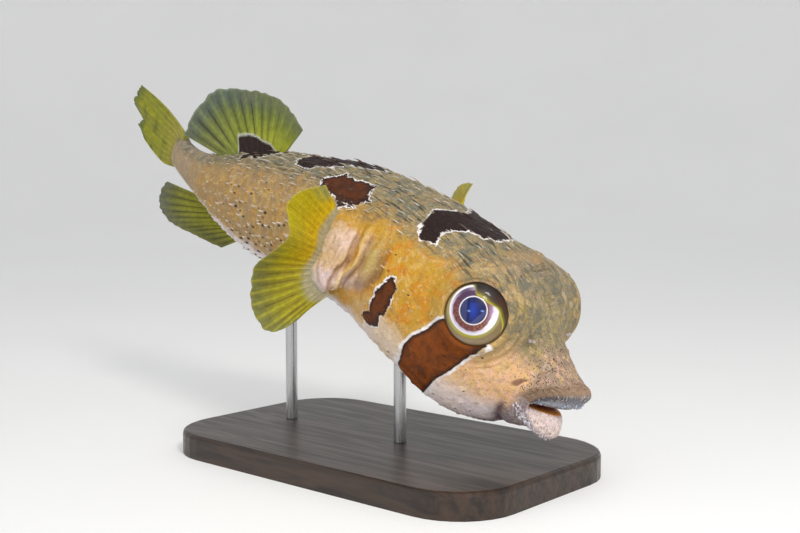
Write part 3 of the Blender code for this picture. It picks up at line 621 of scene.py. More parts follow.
def finger_faces(first, rings, sides):
    """Faces of a finger of rings from the point numbered first, with a tip and a flat foot."""
    faces = []
    for j in range(rings):
        for i in range(sides):
            a = first + j * sides
            after = (i + 1) % sides
            if j < rings - 1:
                faces.append((a + i, a + after, a + after + sides, a + i + sides))
            else:
                faces.append((a + i, a + after, first + rings * sides))
    faces.append(tuple(first + sides - 1 - i for i in range(sides)))
    return faces


# Materials
class Finish:
    """A material, and short ways to add nodes to it."""

    def __init__(self, name):
        self.made = bpy.data.materials.new(name)
        self.made.use_nodes = True
        self.nodes = self.made.node_tree.nodes
        self.place = self.node("TexCoord", {}, "Object")

    def put(self, socket, value):
        """Gives a socket a number, a vector, a colour or another node's output."""
        if isinstance(value, (int, float)):
            socket.default_value = value
        elif isinstance(value, tuple):
            socket.default_value = value + (1.0,) * (len(socket.default_value) - len(value))
        else:
            self.made.node_tree.links.new(value, socket)

    def node(self, kind, inputs, output=0, **settings):
        """Adds a node and gives one of its outputs."""
        node = self.nodes.new("ShaderNode" + kind)
        for name, value in settings.items():
            setattr(node, name, value)
        for name, value in inputs.items():
            self.put(node.inputs[name], value)
        return node.outputs[output]

    def shade(self, inputs):
        """Sets inputs of the surface shader by name."""
        for name, value in inputs.items():
            self.put(self.nodes["Principled BSDF"].inputs[name], value)

    def field(self, name, output="Fac"):
        """What a mesh stores on its points under a name."""
        return self.node("Attribute", {}, output, attribute_name=name)

    def noise(self, scale, detail=3.0, rough=0.55, warp=0.0, place=None):
        inputs = {"Scale": scale, "Detail": detail, "Roughness": rough, "Distortion": warp}
        return self.node("TexNoise", {**inputs, "Vector": place or self.place}, "Fac")

    def ramp(self, value, low, high, out_low=0.0, out_high=1.0):
        """Maps a value from low-high onto a smooth range."""
        inputs = {"Value": value, "From Min": low, "From Max": high, "To Min": out_low, "To Max": out_high}
        return self.node("MapRange", inputs, "Result", interpolation_type="SMOOTHSTEP")

    def cloud(self, scale, low, high, out_low=0.0, out_high=1.0, detail=4.0, warp=0.5, place=None):
        return self.ramp(self.noise(scale, detail, 0.58, warp, place), low, high, out_low, out_high)

    def sum(self, operation, first, second):
        return self.node("Math", {0: first, 1: second}, operation=operation)

    def times(self, first, second):
        return self.sum("MULTIPLY", first, second)

    def over(self, colour, share, paint, how="MIX"):
        """A colour with a paint over it by a share."""
        return self.node("Mix", {0: share, 6: colour, 7: paint}, 2, data_type="RGBA", blend_type=how)

    def stretched(self, vector, scale):
        """Places squeezed or stretched along each direction."""
        return self.node("Mapping", {"Vector": vector, "Scale": scale}, "Vector")

    def bump(self, height, distance, strength):
        inputs = {"Strength": strength, "Distance": distance, "Height": height}
        self.shade({"Normal": self.node("Bump", inputs, "Normal")})


def mottled(skin, colour):
    """Golden, orange, pale and brown mottles, and the back's olive and grey."""
    for name, scale, low, high, strength, detail, warp, paint in (
            ("gold", 150.0, 0.50, 0.64, 1.00, 4.0, 0.5, skin.field("patch", "Color")),
            ("gold", 95.0, 0.54, 0.68, 0.45, 4.0, 1.2, PALE_GOLD),
            (None, 420.0, 0.54, 0.70, 0.30, 4.0, 0.5, CREAM_FLECK),
            (None, 260.0, 0.52, 0.70, 0.36, 4.0, 0.7, BROWN_FLECK),
            (None, 900.0, 0.58, 0.68, 0.22, 2.0, 0.5, DARK_FLECK),
            ("backs", 230.0, 0.44, 0.60, 1.00, 4.0, 0.8, BACK_GREY),
            ("backs", 170.0, 0.56, 0.70, 0.60, 4.0, 0.5, BACK_OLIVE)):
        share = skin.cloud(scale, low, high, 0.0, strength, detail, warp)
        if name:
            share = skin.times(share, skin.field(name))
        colour = skin.over(colour, share, paint)
    return colour


def lined(skin, colour, unrolled, dark_lines):
    """Dark and pale lines of the folds over the back's spines."""
    pale_lines = skin.stretched(unrolled, (0.11, 0.80, 1.0))
    for place, scale, low, high, strength, warp, paint in (
            (dark_lines, 1.0, 0.565, 0.625, 0.85, 0.35, LINE_DARK),
            (pale_lines, 1.7, 0.62, 0.68, 0.55, 0.30, LINE_PALE)):
        share = skin.cloud(scale, low, high, 0.0, strength, 2.0, warp, place)
        colour = skin.over(colour, skin.times(share, skin.field("lines")), paint)
    return colour


def freckled(skin, colour):
    """Freckles in two sizes, thick on the snout and sparse elsewhere."""
    for scale, low, high, least, most, strength in ((1500.0, 0.38, 0.58, 0.04, 0.44, 0.90),
                                                    (980.0, 0.45, 0.62, 0.0, 0.36, 0.95)):
        spots = {"Scale": scale, "Randomness": 1.0, "Vector": skin.place}
        distance = skin.node("TexVoronoi", spots, "Distance")
        reach = skin.times(skin.field("freckle"), skin.cloud(0.45 * scale, low, high, least, most))
        close = skin.sum("SUBTRACT", reach, distance)
        colour = skin.over(colour, skin.ramp(close, 0.0, 0.12, 0.0, strength), FRECKLE)
    return colour


def blotched(skin, colour):
    """Blotches with a ragged outline and a white edge."""
    rag = skin.sum("SUBTRACT", skin.noise(300.0, 5.0, 0.62, 0.6), 0.5)
    rag = skin.times(skin.times(rag, 7.0), skin.field("rag"))
    depth = skin.sum("ADD", skin.field("blotch"), rag)
    edge = skin.ramp(skin.sum("DIVIDE", depth, skin.field("halo")), -1.35, -0.75)
    edge = skin.times(edge, skin.cloud(95.0, 0.40, 0.52, 0.15, 1.0, detail=2.0))
    colour = skin.over(colour, skin.times(edge, 0.94), BLOTCH_EDGE)
    deep = skin.times(skin.ramp(depth, 0.0, 2.4), skin.field("red"))
    deep = skin.times(deep, skin.cloud(140.0, 0.32, 0.62, 0.40, 1.0))
    dark = skin.over(BLOTCH_DARK, deep, BLOTCH_RED)
    flecks = skin.times(skin.cloud(520.0, 0.62, 0.74, 0.0, 0.35), skin.field("red"))
    return skin.over(colour, skin.ramp(depth, -0.25, 0.25), skin.over(dark, flecks, BLOTCH_FLECK))


def skin_material():
    """Mottled skin with freckles, folds lined with dark, blotches edged in white and a fine grain."""
    skin = Finish("skin")
    unrolled = skin.field("unrolled", "Vector")
    dark_lines = skin.stretched(unrolled, (0.085, 0.62, 1.0))
    colour = mottled(skin, skin.field("tint", "Color"))
    colour = freckled(skin, lined(skin, colour, unrolled, dark_lines))

    # Pale sheaths of the spines and the dark spots before them
    colour = skin.over(colour, skin.ramp(skin.field("pale"), 0.08, 0.75, 0.0, 0.85), SPINE_PALE)
    colour = skin.over(colour, skin.ramp(skin.field("axil"), 0.25, 0.60, 0.0, 0.95), AXIL)
    colour = blotched(skin, colour)

    # A leathery grain, and low ridges over the folded spines of the back
    wide = skin.noise(300.0, 4.0)
    ridges = skin.times(skin.noise(1.0, 2.0, 0.5, 0.35, dark_lines), skin.field("lines"))
    height = skin.sum("ADD", skin.times(wide, 1.8), skin.noise(1000.0, 4.0, 0.6))
    skin.bump(skin.sum("SUBTRACT", height, skin.times(ridges, 2.2)), 0.75 * MM, 0.90)
    skin.shade({"Base Color": colour, "Roughness": skin.ramp(wide, 0.3, 0.7, 0.42, 0.58),
                "Specular IOR Level": 0.18, "Subsurface Weight": 0.06,
                "Subsurface Radius": (1.0, 0.45, 0.25), "Subsurface Scale": 1.2 * MM})
    return skin.made


def tinted_material(name, roughness, grain_scale, grain_depth=0.0, coat=0.0, subsurface=0.0, vary=0.12):
    """A finish whose colour is stored on the points, with a little grain."""
    finish = Finish(name)
    fine = finish.ramp(finish.noise(grain_scale), 0.3, 0.7, 1.0 - vary, 1.0 + vary)
    finish.shade({"Base Color": finish.over(finish.field("tint", "Color"), 1.0, fine, "MULTIPLY"),
                  "Roughness": roughness, "Specular IOR Level": 0.22})
    if grain_depth:
        finish.bump(finish.noise(grain_scale * 1.4), grain_depth, 0.6)
    if coat:
        finish.shade({"Coat Weight": coat, "Coat Roughness": 0.03})
    if subsurface:
        finish.shade({"Subsurface Weight": subsurface, "Subsurface Radius": (1.0, 0.7, 0.3),
                      "Subsurface Scale": 2.0 * MM})
    return finish.made


def base_material():
    """Dark satin wood with a fine straight grain."""
    wood = Finish("stand_base")
    lines = wood.noise(3.0, 6.0, 0.65, 0.8, wood.stretched(wood.place, (6.0, 90.0, 60.0)))
    colour = wood.over(WOOD_TONES[0], wood.ramp(lines, 0.35, 0.65), WOOD_TONES[1])
    wood.shade({"Base Color": colour, "Roughness": wood.ramp(lines, 0.3, 0.7, 0.42, 0.30)})
    wood.bump(lines, 0.15 * MM, 0.4)
    return wood.made


def rod_material():
    """Brushed steel."""
    steel = Finish("stand_rod")
    lines = steel.noise(4.0, place=steel.stretched(steel.place, (400.0, 400.0, 12.0)))
    steel.shade({"Base Color": steel.over(STEEL_TONES[0], lines, STEEL_TONES[1]),
                 "Roughness": steel.ramp(lines, 0.3, 0.7, 0.22, 0.38), "Metallic": 1.0})
    return steel.made


# The skin
def flat_map(t, angle):
    """Places on an unrolled flank, in mm, for t along the body and the angle above the side."""
    half, above, below = size_at(t)
    radius = 0.25 * (2.0 * half + above + below)
    return t * BODY_LENGTH / MM, np.radians(angle) * radius / MM


def inside_distance(x, y, corners):
    """How deep places lie inside a closed outline, negative outside it, in mm."""
    cx, cy = flat_map(np.array([c[0] for c in corners]), np.array([c[1] for c in corners], float))
    nearest = np.full(x.shape, 1e9)
    inside = np.zeros(x.shape, bool)
    for k in range(len(corners)):
        x0, y0 = cx[k], cy[k]
        x1, y1 = cx[(k + 1) % len(corners)], cy[(k + 1) % len(corners)]
        length = (x1 - x0) ** 2 + (y1 - y0) ** 2
        s = np.clip(((x - x0) * (x1 - x0) + (y - y0) * (y1 - y0)) / length, 0.0, 1.0)
        nearest = np.minimum(nearest, np.hypot(x - x0 - s * (x1 - x0), y - y0 - s * (y1 - y0)))
        if y1 != y0:
            crosses = (y0 > y) != (y1 > y)
            inside ^= crosses & (x < (x1 - x0) * (y - y0) / (y1 - y0) + x0)
    return np.where(inside, nearest, -nearest)


class Skin:
    """The whole skin as a grid, with the t and phi of every point."""

    def __init__(self):
        self.phi = np.arange(SKIN_COLUMNS) * 360.0 / SKIN_COLUMNS
        rings = [lip_ring(sizes, self.phi) for sizes in reversed(LIP_RINGS)]
        count = len(rings)
        for share in (0.0, 0.06, 0.12):
            rings.append(body(head_t(share, self.phi), self.phi))
        lip_rows, numbers = smooth_rings(rings, count, LIP_STEPS)
        self.lip_count = len(lip_rows)
        self.ring_total = count
        shares = np.linspace(0.0, 1.0, HEAD_ROWS, endpoint=False)
        rows_t = [head_t(share, self.phi) for share in shares]
        rows_t += [np.full(SKIN_COLUMNS, t) for t in np.linspace(HEAD_END, 1.0, BODY_ROWS)]
        self.t = np.array([head_t(0.0, self.phi)] * self.lip_count + rows_t)
        self.p = np.broadcast_to(self.phi, self.t.shape).copy()
        self.ring = np.zeros(self.t.shape)
        self.ring[:self.lip_count] = np.array(numbers)[:, None]
        self.ring[self.lip_count:] = count
        t = self.t[self.lip_count:]
        grid = np.concatenate([np.array(lip_rows), body(t, self.p[self.lip_count:])])
        grid = self.close_tail(grid)
        self.angle = side_angle(self.p)
        self.grid = grid
        self.axil = np.zeros(self.t.shape)
        self.pale = np.zeros(self.t.shape)

    def close_tail(self, grid):
        """Adds rows that round off the end of the body over the tail fin's root."""
        last = grid[-1]
        middle = axis_point(1.0)
        forward, right, up = body_axes(np.array(1.0))
        rows = []
        for k in range(1, END_ROWS + 1):
            s = k / END_ROWS
            out = last - middle
            tall = (out @ up)[:, None] * up * math.cos(0.5 * math.pi * s) ** 0.35
            wide = (out @ right)[:, None] * right * max(0.02, math.cos(0.5 * math.pi * s)) ** 0.9
            rows.append(middle + tall + wide - forward * 4.0 * MM * math.sin(0.5 * math.pi * s))
        extra = len(rows)
        self.t = np.concatenate([self.t, np.full((extra, SKIN_COLUMNS), 1.0)])
        self.p = np.concatenate([self.p, np.broadcast_to(self.phi, (extra, SKIN_COLUMNS))])
        self.ring = np.concatenate([self.ring, np.full((extra, SKIN_COLUMNS), float(self.ring_total))])
        return np.concatenate([grid, np.array(rows)])

    def row_of(self, t, phi):
        """The row, with its fraction, of a place on the head or body."""
        share = share_of_head(t, phi)
        in_head = self.lip_count + share * HEAD_ROWS
        in_body = self.lip_count + HEAD_ROWS + (t - HEAD_END) / (1.0 - HEAD_END) * (BODY_ROWS - 1)
        return np.where(t < HEAD_END, in_head, in_body)

    def sample(self, field, t, phi):
        """A field of the grid at one place."""
        row = float(np.clip(self.row_of(t, phi), 0, len(field) - 1.001))
        column = (phi % 360.0) / 360.0 * SKIN_COLUMNS
        r0 = int(row)
        c0 = int(column) % SKIN_COLUMNS
        c1 = (c0 + 1) % SKIN_COLUMNS
        fr = row - r0
        fc = column - int(column)
        upper = field[r0, c0] * (1 - fc) + field[r0, c1] * fc
        lower = field[r0 + 1, c0] * (1 - fc) + field[r0 + 1, c1] * fc
        return upper * (1 - fr) + lower * fr

    def cover_lobes(self):
        """Draws the skin over the fleshy root of each pectoral fin."""
        self.lobe = np.zeros(self.t.shape)
        self.smooth_skin = np.zeros(self.t.shape)
        self.lobe_up = np.zeros(self.t.shape)
        self.lobe_back = np.full(self.t.shape, -99.0)
        arc_at = through(LOBE_UP[::-1], LOBE_BACK[::-1])
        thick_at = through(np.linspace(0.0, 1.0, len(LOBE_THICK)), LOBE_THICK)
        fold_at = through(FOLD_UP, FOLD_BACK)
        for fin in PECTORALS:
            away = (self.grid - fin.middle) / MM
            b, u, h = away @ fin.back, away @ fin.up, away @ fin.ahead
            near = (away @ fin.out > -14.0) & (np.abs(b) < 36.0) & (np.abs(u) < 38.0)
            within = (b - LOBE_INNER) / (arc_at(u) - LOBE_INNER)
            inside = np.clip(within, 0.0, 1.0)
            q = (u / (LOBE_NARROW + (1.0 - LOBE_NARROW) * inside) - 1.0) / LOBE_HALF
            round_off = np.sqrt(np.clip(1.0 - q * q, 0.0, 1.0)) ** 0.7
            face = thick_at(inside) * round_off - LOBE_BEND * (1.0 - inside) ** 2 - 0.6
            for rise, behind, high, long, tall in LOBE_PADS:
                face = face + rise * bell(np.hypot((b - fold_at(u) - behind) / long, (u - high) / tall))
            face = face + 1.6 * bell(np.hypot(b + 1.6, u + 12.0) / 6.0)
            beyond = np.clip(np.abs(q) - 0.96, 0.0, 2.0) * LOBE_HALF
            face = face - np.where(u > 0.0, 1.3, 1.6) * beyond - 0.05 * beyond ** 2
            face = face - LOBE_SINK * np.clip(-within, 0.0, 1.0) ** 1.1
            merged = 0.5 * (h + face + np.sqrt((h - face) ** 2 + LOBE_MERGE ** 2))
            lifted = np.maximum(merged - 1.2 * bell((h - face) / 7.0), h)
            share = smooth(1.02, 0.86, within) * near
            self.grid = self.grid + fin.ahead * ((lifted - h) * share * MM)[..., None]
            cover = smooth(-4.0, 1.5, face - h) * smooth(1.12, 0.80, np.abs(q)) * smooth(1.10, 0.98, within)
            cover = cover * near
            self.lobe = np.maximum(self.lobe, cover * smooth(0.95, 0.87, within))
            self.smooth_skin = np.maximum(self.smooth_skin, cover)
            self.lobe_up = np.where(near, u, self.lobe_up)
            self.lobe_back = np.where(near, b - fold_at(u), self.lobe_back)

    def fold_lobes(self):
        """Softens the lobes and presses their folds into them."""
        soft = smooth(0.02, 0.35, self.smooth_skin) * (self.lobe_back < 12.5)
        around = bell(np.hypot((self.t - 0.37) * BODY_LENGTH / MM, self.lobe_up) / 26.0)
        soft = np.maximum(soft, 0.6 * around * (self.lobe_back > -16.0))
        for _ in range(LOBE_SOFTENING):
            beside = np.roll(self.grid, 1, 0) + np.roll(self.grid, -1, 0)
            level = 0.25 * (beside + np.roll(self.grid, 1, 1) + np.roll(self.grid, -1, 1))
            self.grid = self.grid + (level - self.grid) * (SOFTENING_SHARE * soft)[..., None]
        self.fold_tall = bell(((self.lobe_up - 1.0) / 14.5) ** 2)
        self.from_fold = self.lobe_back + 0.9 * np.sin(0.28 * self.lobe_up + 0.8)
        d = self.from_fold
        rise = sum(high * bell((d - at) / wide) for high, at, wide in LOBE_FOLDS)
        rise = rise + 0.35 * np.sin(1.5 * d + 0.35 * self.lobe_up) * bell((d - 8.0) / 5.0)
        self.grid = self.grid + grid_normals(self.grid) * (rise * self.fold_tall * MM)[..., None]

    def add_folds(self):
        """Wrinkles over all, by the gills, under the chin, on the bar, on the lips and about the eyes."""
        t, angle, place = self.t, self.angle, self.grid
        normals = grid_normals(place)
        rise = WAVES_WIDE * ripple(place, 9 * MM) + WAVES_FINE * ripple(place, 4.5 * MM, 2.0)
        past_gill = t - GILL_WAVES_AT
        near_gill = bell(past_gill / 0.035) * bell(((angle - 2.0) / 32.0) ** 2)
        waves = np.sin(past_gill * 420.0 + angle * 0.035 + 1.4 * ripple(place, 28 * MM, 1.0))
        rise = (rise + GILL_WAVES * near_gill * waves) * (1.0 - 0.6 * smooth(0.86, 0.96, t))
        chin = bell((t - CHIN_WAVES_AT) / 0.035) * smooth(-35.0, -60.0, angle)
        rise = rise + CHIN_WAVES * chin * np.sin(t * 900.0 + ripple(place, 20 * MM, 4.0))
        across_bar = angle + 43.0 - 130.0 * (t - 0.20)
        bar_fold = BAR_BULGE * bell((across_bar + 6.0) / 4.0) - BAR_FOLD * bell(across_bar / 2.6)
        rise = rise + bar_fold * bell((t - BAR_FOLD_AT) / 0.030)
        rise = np.where(self.ring >= self.ring_total, rise, 0.35 * rise)
        lips = smooth(2.5, 4.0, self.ring) * smooth(7.5, 5.5, self.ring) * np.where(angle > 0.0, 1.0, 0.45)
        creases = np.sin(np.radians(self.p) * 46.0 + 1.2 * ripple(place, 7 * MM, 3.0))
        rise = rise + LIP_CREASES * lips * creases
        pink = smooth(2.0, 3.0, self.ring) * smooth(6.5, 5.0, self.ring) * smooth(0.0, -20.0, angle)
        grain = ripple(place, 2.4 * MM, 2.0) + 0.6 * ripple(place, 1.3 * MM, 5.0)
        rise = rise + LIP_GRAIN * pink * grain
        for side, (middle, facing) in ORBITS.items():
            ahead, over = orbit_frame(side)
            away = place - middle
            x = away @ ahead
            y = away @ over
            aside = np.hypot(x, y)
            out = aside - ORBIT_RADIUS
            below = smooth(-0.5, 0.6, (0.85 * x - 0.60 * y) / np.maximum(aside, MM))
            about = bell((out - EYE_WAVES_OUT) / (4.5 * MM)) * (away @ facing > -ORBIT_REACH)
            rise = rise + EYE_WAVES * below * about * np.cos(out / EYE_WAVE_LENGTH * 2 * math.pi)
        self.grid = self.grid + normals * (rise * MM)[..., None]

    def open_orbits(self):
        """Rolls the lids and sinks the skin under each eye."""
        self.rim = np.full(self.t.shape, 99.0)
        self.rim_turn = np.zeros(self.t.shape)
        for side, (middle, facing) in ORBITS.items():
            ahead, over = orbit_frame(side)
            away = self.grid - middle
            out = away @ facing
            flat = away - out[..., None] * facing
            aside = np.linalg.norm(flat, axis=-1)
            near = (aside < ORBIT_RADIUS * 1.6) & (out > -ORBIT_REACH * 0.6)
            x = np.clip((aside - LID_INNER) / WARP_REACH, -1.0, 1.0)
            warped = LID_INNER + WARP_REACH * x * (WARP_TIGHT + (1.0 - WARP_TIGHT) * x * x)
            new = np.where(np.abs(aside - LID_INNER) < WARP_REACH, warped, aside)
            roll = LID_RISE * bell((new - LID_INNER - LID_ROLL_OUT) / LID_ROLL)
            drop = SOCKET_DEPTH * smooth(LID_INNER, LID_INNER - LID_WALL, new)
            inner = 0.9 * MM * smooth(LID_INNER + 0.8 * MM, LID_INNER - 0.1 * MM, new)
            height = out + roll - inner - drop
            height = np.where(new < LID_INNER, np.minimum(height, -drop - inner), height)
            direction = flat / np.maximum(aside, 1e-6)[..., None]
            moved = middle + direction * new[..., None] + facing * height[..., None]
            self.grid = np.where(near[..., None], moved, self.grid)
            self.rim = np.where(near, new / MM, self.rim)
            self.rim_turn = np.where(near, np.degrees(np.arctan2(flat @ ahead, flat @ over)), self.rim_turn)

    def raise_sheath(self, root, back, across, length, pale, dark, spot_size):
        """A low ridge over a spine, pale towards its tip, with a dark spot before its root."""
        row, column = self.nearest(root)
        rows = np.arange(max(row - SHEATH_CELLS, self.lip_count), min(row + SHEATH_CELLS, len(self.grid)))
        columns = np.arange(column - SHEATH_CELLS, column + SHEATH_CELLS) % SKIN_COLUMNS
        window = np.ix_(rows, columns)
        away = self.grid[window] - root
        x = away @ back
        y = away @ across
        near = np.abs(away @ np.cross(back, across)) < SHEATH_DEEP
        cover = smooth(-2.6 * MM, 0.4 * MM, x) * smooth(length, 0.6 * length, x) * near
        self.grid[window] += self.normals[window] * (SHEATH_RISE * cover * bell(y / SHEATH_HALF))[..., None]
        smudge = smooth(-0.3 * MM, 0.9 * MM, x) * smooth(1.25 * length, 0.6 * length, x) * near
        smudge = smudge * bell(y / SMUDGE_HALF) * pale
        self.pale[window] = np.maximum(self.pale[window], smudge)
        spot = bell(np.hypot((x + SPOT_BEFORE) / (1.1 * spot_size), y / (0.75 * spot_size))) * near * dark
        self.axil[window] = np.maximum(self.axil[window], spot)

    def nearest(self, root):
        """The row and column of the grid's point nearest a place near the last one sampled."""
        row, column = self.last
        best = (row, column)
        distance = 1e9
        for r in range(max(row - 4, 0), min(row + 5, len(self.grid))):
            for c in range(column - 4, column + 5):
                d = float(np.sum((self.grid[r, c % SKIN_COLUMNS] - root) ** 2))
                if d < distance:
                    distance = d
                    best = (r, c % SKIN_COLUMNS)
        return best

    def colours(self):
        """Colour of each point and how strong each marking is."""
        place = self.grid
        self.tt = self.t + 0.012 * ripple(place, 40 * MM, 1.0)
        self.aa = self.angle + 5.0 * ripple(place, 34 * MM, 2.0) + 3.0 * ripple(place, 13 * MM, 5.0)
        tone = self.throat_tone(self.head_tone(self.lobe_tone(self.body_tone())))
        self.set_patterns()
        tone = mix(self.lip_tone(), tone, smooth(self.ring_total - 2.2, self.ring_total, self.ring))
        self.tone = self.lid_tone(self.snout_mark(tone))
        self.mark_blotches()

    def body_tone(self):
        """Gold cheeks, tan flanks, an olive back and a pale belly."""
        tt, aa = self.tt, self.aa
        self.on_tail = smooth(0.42, 0.56, tt)
        self.face = smooth(0.225, 0.135, tt - 0.0004 * (aa - 20.0))
        low = 24.0 - 12.0 * smooth(0.15, 0.20, tt)
        self.crown = smooth(low, low + 28.0, aa) * smooth(0.06, 0.12, tt)
        lowered = 26.0 * smooth(0.075, 0.045, tt)
        top = smooth(18.0 - lowered, 52.0 - lowered, aa)
        on_back = smooth(26.0, 52.0, aa) * smooth(0.17, 0.24, tt)
        self.above = np.maximum(on_back, 0.95 * self.crown * smooth(0.23, 0.17, tt))
        start = np.where(tt < 0.32, -12.0 - 18.0 * smooth(0.28, 0.42, tt), -30.0)
        snout_under = smooth(-16.0, -40.0, aa + 60.0 * (tt - 0.12))
        self.under = np.where(tt < 0.15, snout_under, smooth(start, start - 24.0, aa))
        return painted(mix(GOLD, TAN, self.on_tail), (SNOUT_TAN, self.face),
                       (SNOUT_GREY, 0.85 * top * self.face), (BACK, 0.90 * self.above), (BELLY, self.under))

    def lobe_tone(self, tone):
        """Flesh tones of the lobes' pads and folds, by height and by distance behind the main fold, with
        painted shade in the grooves, the slit and the hollow and painted highlight on the ridge and the
        pads.
        """
        place = self.grid
        u = self.lobe_up + 2.0 * ripple(place, 14 * MM, 1.0)
        d = self.from_fold + 0.5 * ripple(place, 9 * MM, 3.0)
        before = smooth(-3.2, -5.0, d)
        shine = smooth(0.1, 0.7, ripple(place, 5 * MM, 6.0)) * smooth(2.0, 6.0, d)
        fleshy = painted(mix(LOBE_PINK, LOBE_LILAC, smooth(-2.0, -9.0, u)),
                         (LOBE_PEACH, 0.75 * smooth(5.0, 13.0, u + 0.5 * d)),
                         (LOBE_REAR, 0.60 * smooth(10.0, 15.0, d + 2.0 * ripple(place, 6 * MM, 8.0))),
                         # painted shade in the grooves and the slit beside the ridge, which is cream with
                         # painted highlight
                         (LOBE_GROOVE_SHADE, 0.75 * bell((d - 3.2) / 1.4)),
                         (LOBE_RIDGE_AND_HIGHLIGHT, 0.90 * bell((d - 0.1) / 1.2)),
                         (LOBE_SLIT_SHADE, 0.85 * bell((d + 2.7) / 1.0)),
                         (LOBE_OLIVE, 0.85 * before * smooth(-5.0, 3.0, u)),
                         (LOBE_GREY, 0.80 * before * smooth(1.0, -6.0, u)),
                         # painted shade towards the hollow, and a painted sheen on the pads
                         (LOBE_BROWN_SHADE, 0.50 * smooth(-7.0, -10.5, d)),
                         (LOBE_PAINTED_SHINE, 0.30 * shine))
        border = 10.5 + 3.5 * ripple(place, 7 * MM, 9.0)
        front = smooth(1.5, -1.5, d) * smooth(-15.0, -8.0, u)
        self.cover = np.maximum(self.lobe, front) * smooth(-12.8, -9.0, d) * smooth(19.0, border, u)
        # painted shade in the hollow before the lobe
        self.hollow_shade = bell((d + 10.6) / 2.0) * self.fold_tall * smooth(-16.0, -2.0, u)
        return painted(tone, (fleshy, 0.95 * self.cover), (LOBE_HOLLOW_SHADE, 0.60 * self.hollow_shade))

    def head_tone(self, tone):
        """Cheek, chin, mottles of face and flank, the tail's base, the brow and the eye's surround."""
        tt, aa, place = self.tt, self.aa, self.grid
        self.low_cheek = smooth(-4.0, -26.0, aa) * bell((tt - 0.27) / 0.06)
        chin = smooth(-8.0, -32.0, self.angle) * bell((tt - 0.135) / 0.050)
        layers = [(CHEEK_CREAM, 0.85 * self.low_cheek), (CHIN_PINK, 0.90 * chin)]
        on_face = smooth(0.20, 0.14, tt) * smooth(-30.0, -8.0, self.angle)
        for size, seed, paint, strength in FACE_MOTTLES:
            mottle = smooth(0.05, 0.75, ripple(place, size * MM, seed))
            layers.append((paint, strength * mottle * on_face))
        on_flank = self.on_tail * (1.0 - self.above) * (1.0 - self.under)
        for size, seed, paint in FLANK_MOTTLES:
            layers.append((paint, 0.50 * smooth(0.0, 0.8, ripple(place, size * MM, seed)) * on_flank))
        self.tail_base = smooth(0.82, 0.92, tt)
        brow = bell((tt - 0.115) / 0.035) * smooth(24.0, 44.0, aa)
        near_rim = bell(np.clip(self.rim - LID_INNER / MM, 0.0, 90.0) / 8.5) * smooth(0.245, 0.20, tt)
        layers += [(TAIL_GREY, 0.65 * self.tail_base * (1.0 - 0.6 * self.under)), (BROW_OLIVE, 0.45 * brow),
                   (EYE_SURROUND, 0.75 * near_rim * smooth(-20.0, 10.0, self.angle))]
        return painted(tone, *layers)

    def throat_tone(self, tone):
        """Stripes before the crease behind the chin, plum painted shade in the crease and under the chin
        behind it, and a pale band behind the crease.
        """
        angle, place = self.angle, self.grid
        self.throat = smooth(0.086, 0.066, self.tt) * smooth(-6.0, -26.0, angle)
        stripes = 0.5 + 0.5 * np.sin(np.radians(self.p) * 34.0 + 5.0 * ripple(place, 7 * MM, 3.0))
        self.stripes = 0.7 * stripes + 0.3 * (0.5 + 0.5 * ripple(place, 2.2 * MM, 7.0))
        past = self.t - CREASE_AT
        return painted(tone, (mix(*THROAT_STRIPES, self.stripes), 0.80 * self.throat),
                       # painted shade: plum in the crease, and again under the chin just behind it
                       (PLUM_SHADE, 0.90 * bell(past / 0.0050) * smooth(-8.0, -26.0, angle)),
                       (THROAT_PALE, 0.6 * bell((past - 0.030) / 0.018) * smooth(-20.0, -40.0, angle)),
                       (PLUM_SHADE, 0.7 * bell((past - 0.016) / 0.016) * smooth(-48.0, -66.0, angle)))

    def set_patterns(self):
        """How strong the mottles, the lines of the back and the freckles are."""
        t, tt, aa, angle = self.t, self.tt, self.aa, self.angle
        self.patch = mix(ORANGE, TAN_BLOB, self.on_tail)
        on_side = 1.0 - self.under
        gold = bell((tt - 0.30) / 0.15) * (1.0 - 0.8 * self.above) * on_side
        gold = np.clip(gold + 0.55 * smooth(0.45, 0.6, tt) * on_side * (1.0 - 0.6 * self.above), 0.0, 1.0)
        gold = gold * (1.0 - 0.9 * np.maximum(self.cover, self.hollow_shade)) * (1.0 - 0.85 * self.face)
        self.gold = gold * (1.0 - 0.6 * self.low_cheek) * (1.0 - 0.7 * self.tail_base)
        self.backs = 0.85 * self.above * (1.0 - self.cover)
        lines = smooth(30.0, 48.0, aa) * smooth(0.15, 0.24, t) * smooth(0.74, 0.60, t)
        self.lines = np.clip(lines + 0.35 * smooth(18.0, 34.0, aa) * bell((t - 0.16) / 0.05), 0.0, 1.0)
        on_snout = bell((t - 0.042) / 0.050) * (0.55 + 0.45 * smooth(-5.0, 42.0, angle))
        on_snout = on_snout * smooth(-30.0, -8.0, angle)
        on_lip = smooth(4.6, 6.2, self.ring) * smooth(-5.0, 20.0, angle)
        freckle = np.where(self.ring < self.ring_total, 0.9 * on_lip, on_snout)
        freckle = np.maximum(freckle, 0.75 * self.throat) + 0.38 + 0.34 * self.crown
        self.freckle = np.clip(freckle + 0.10 * self.on_tail - 0.4 * self.under, 0.0, 1.15)

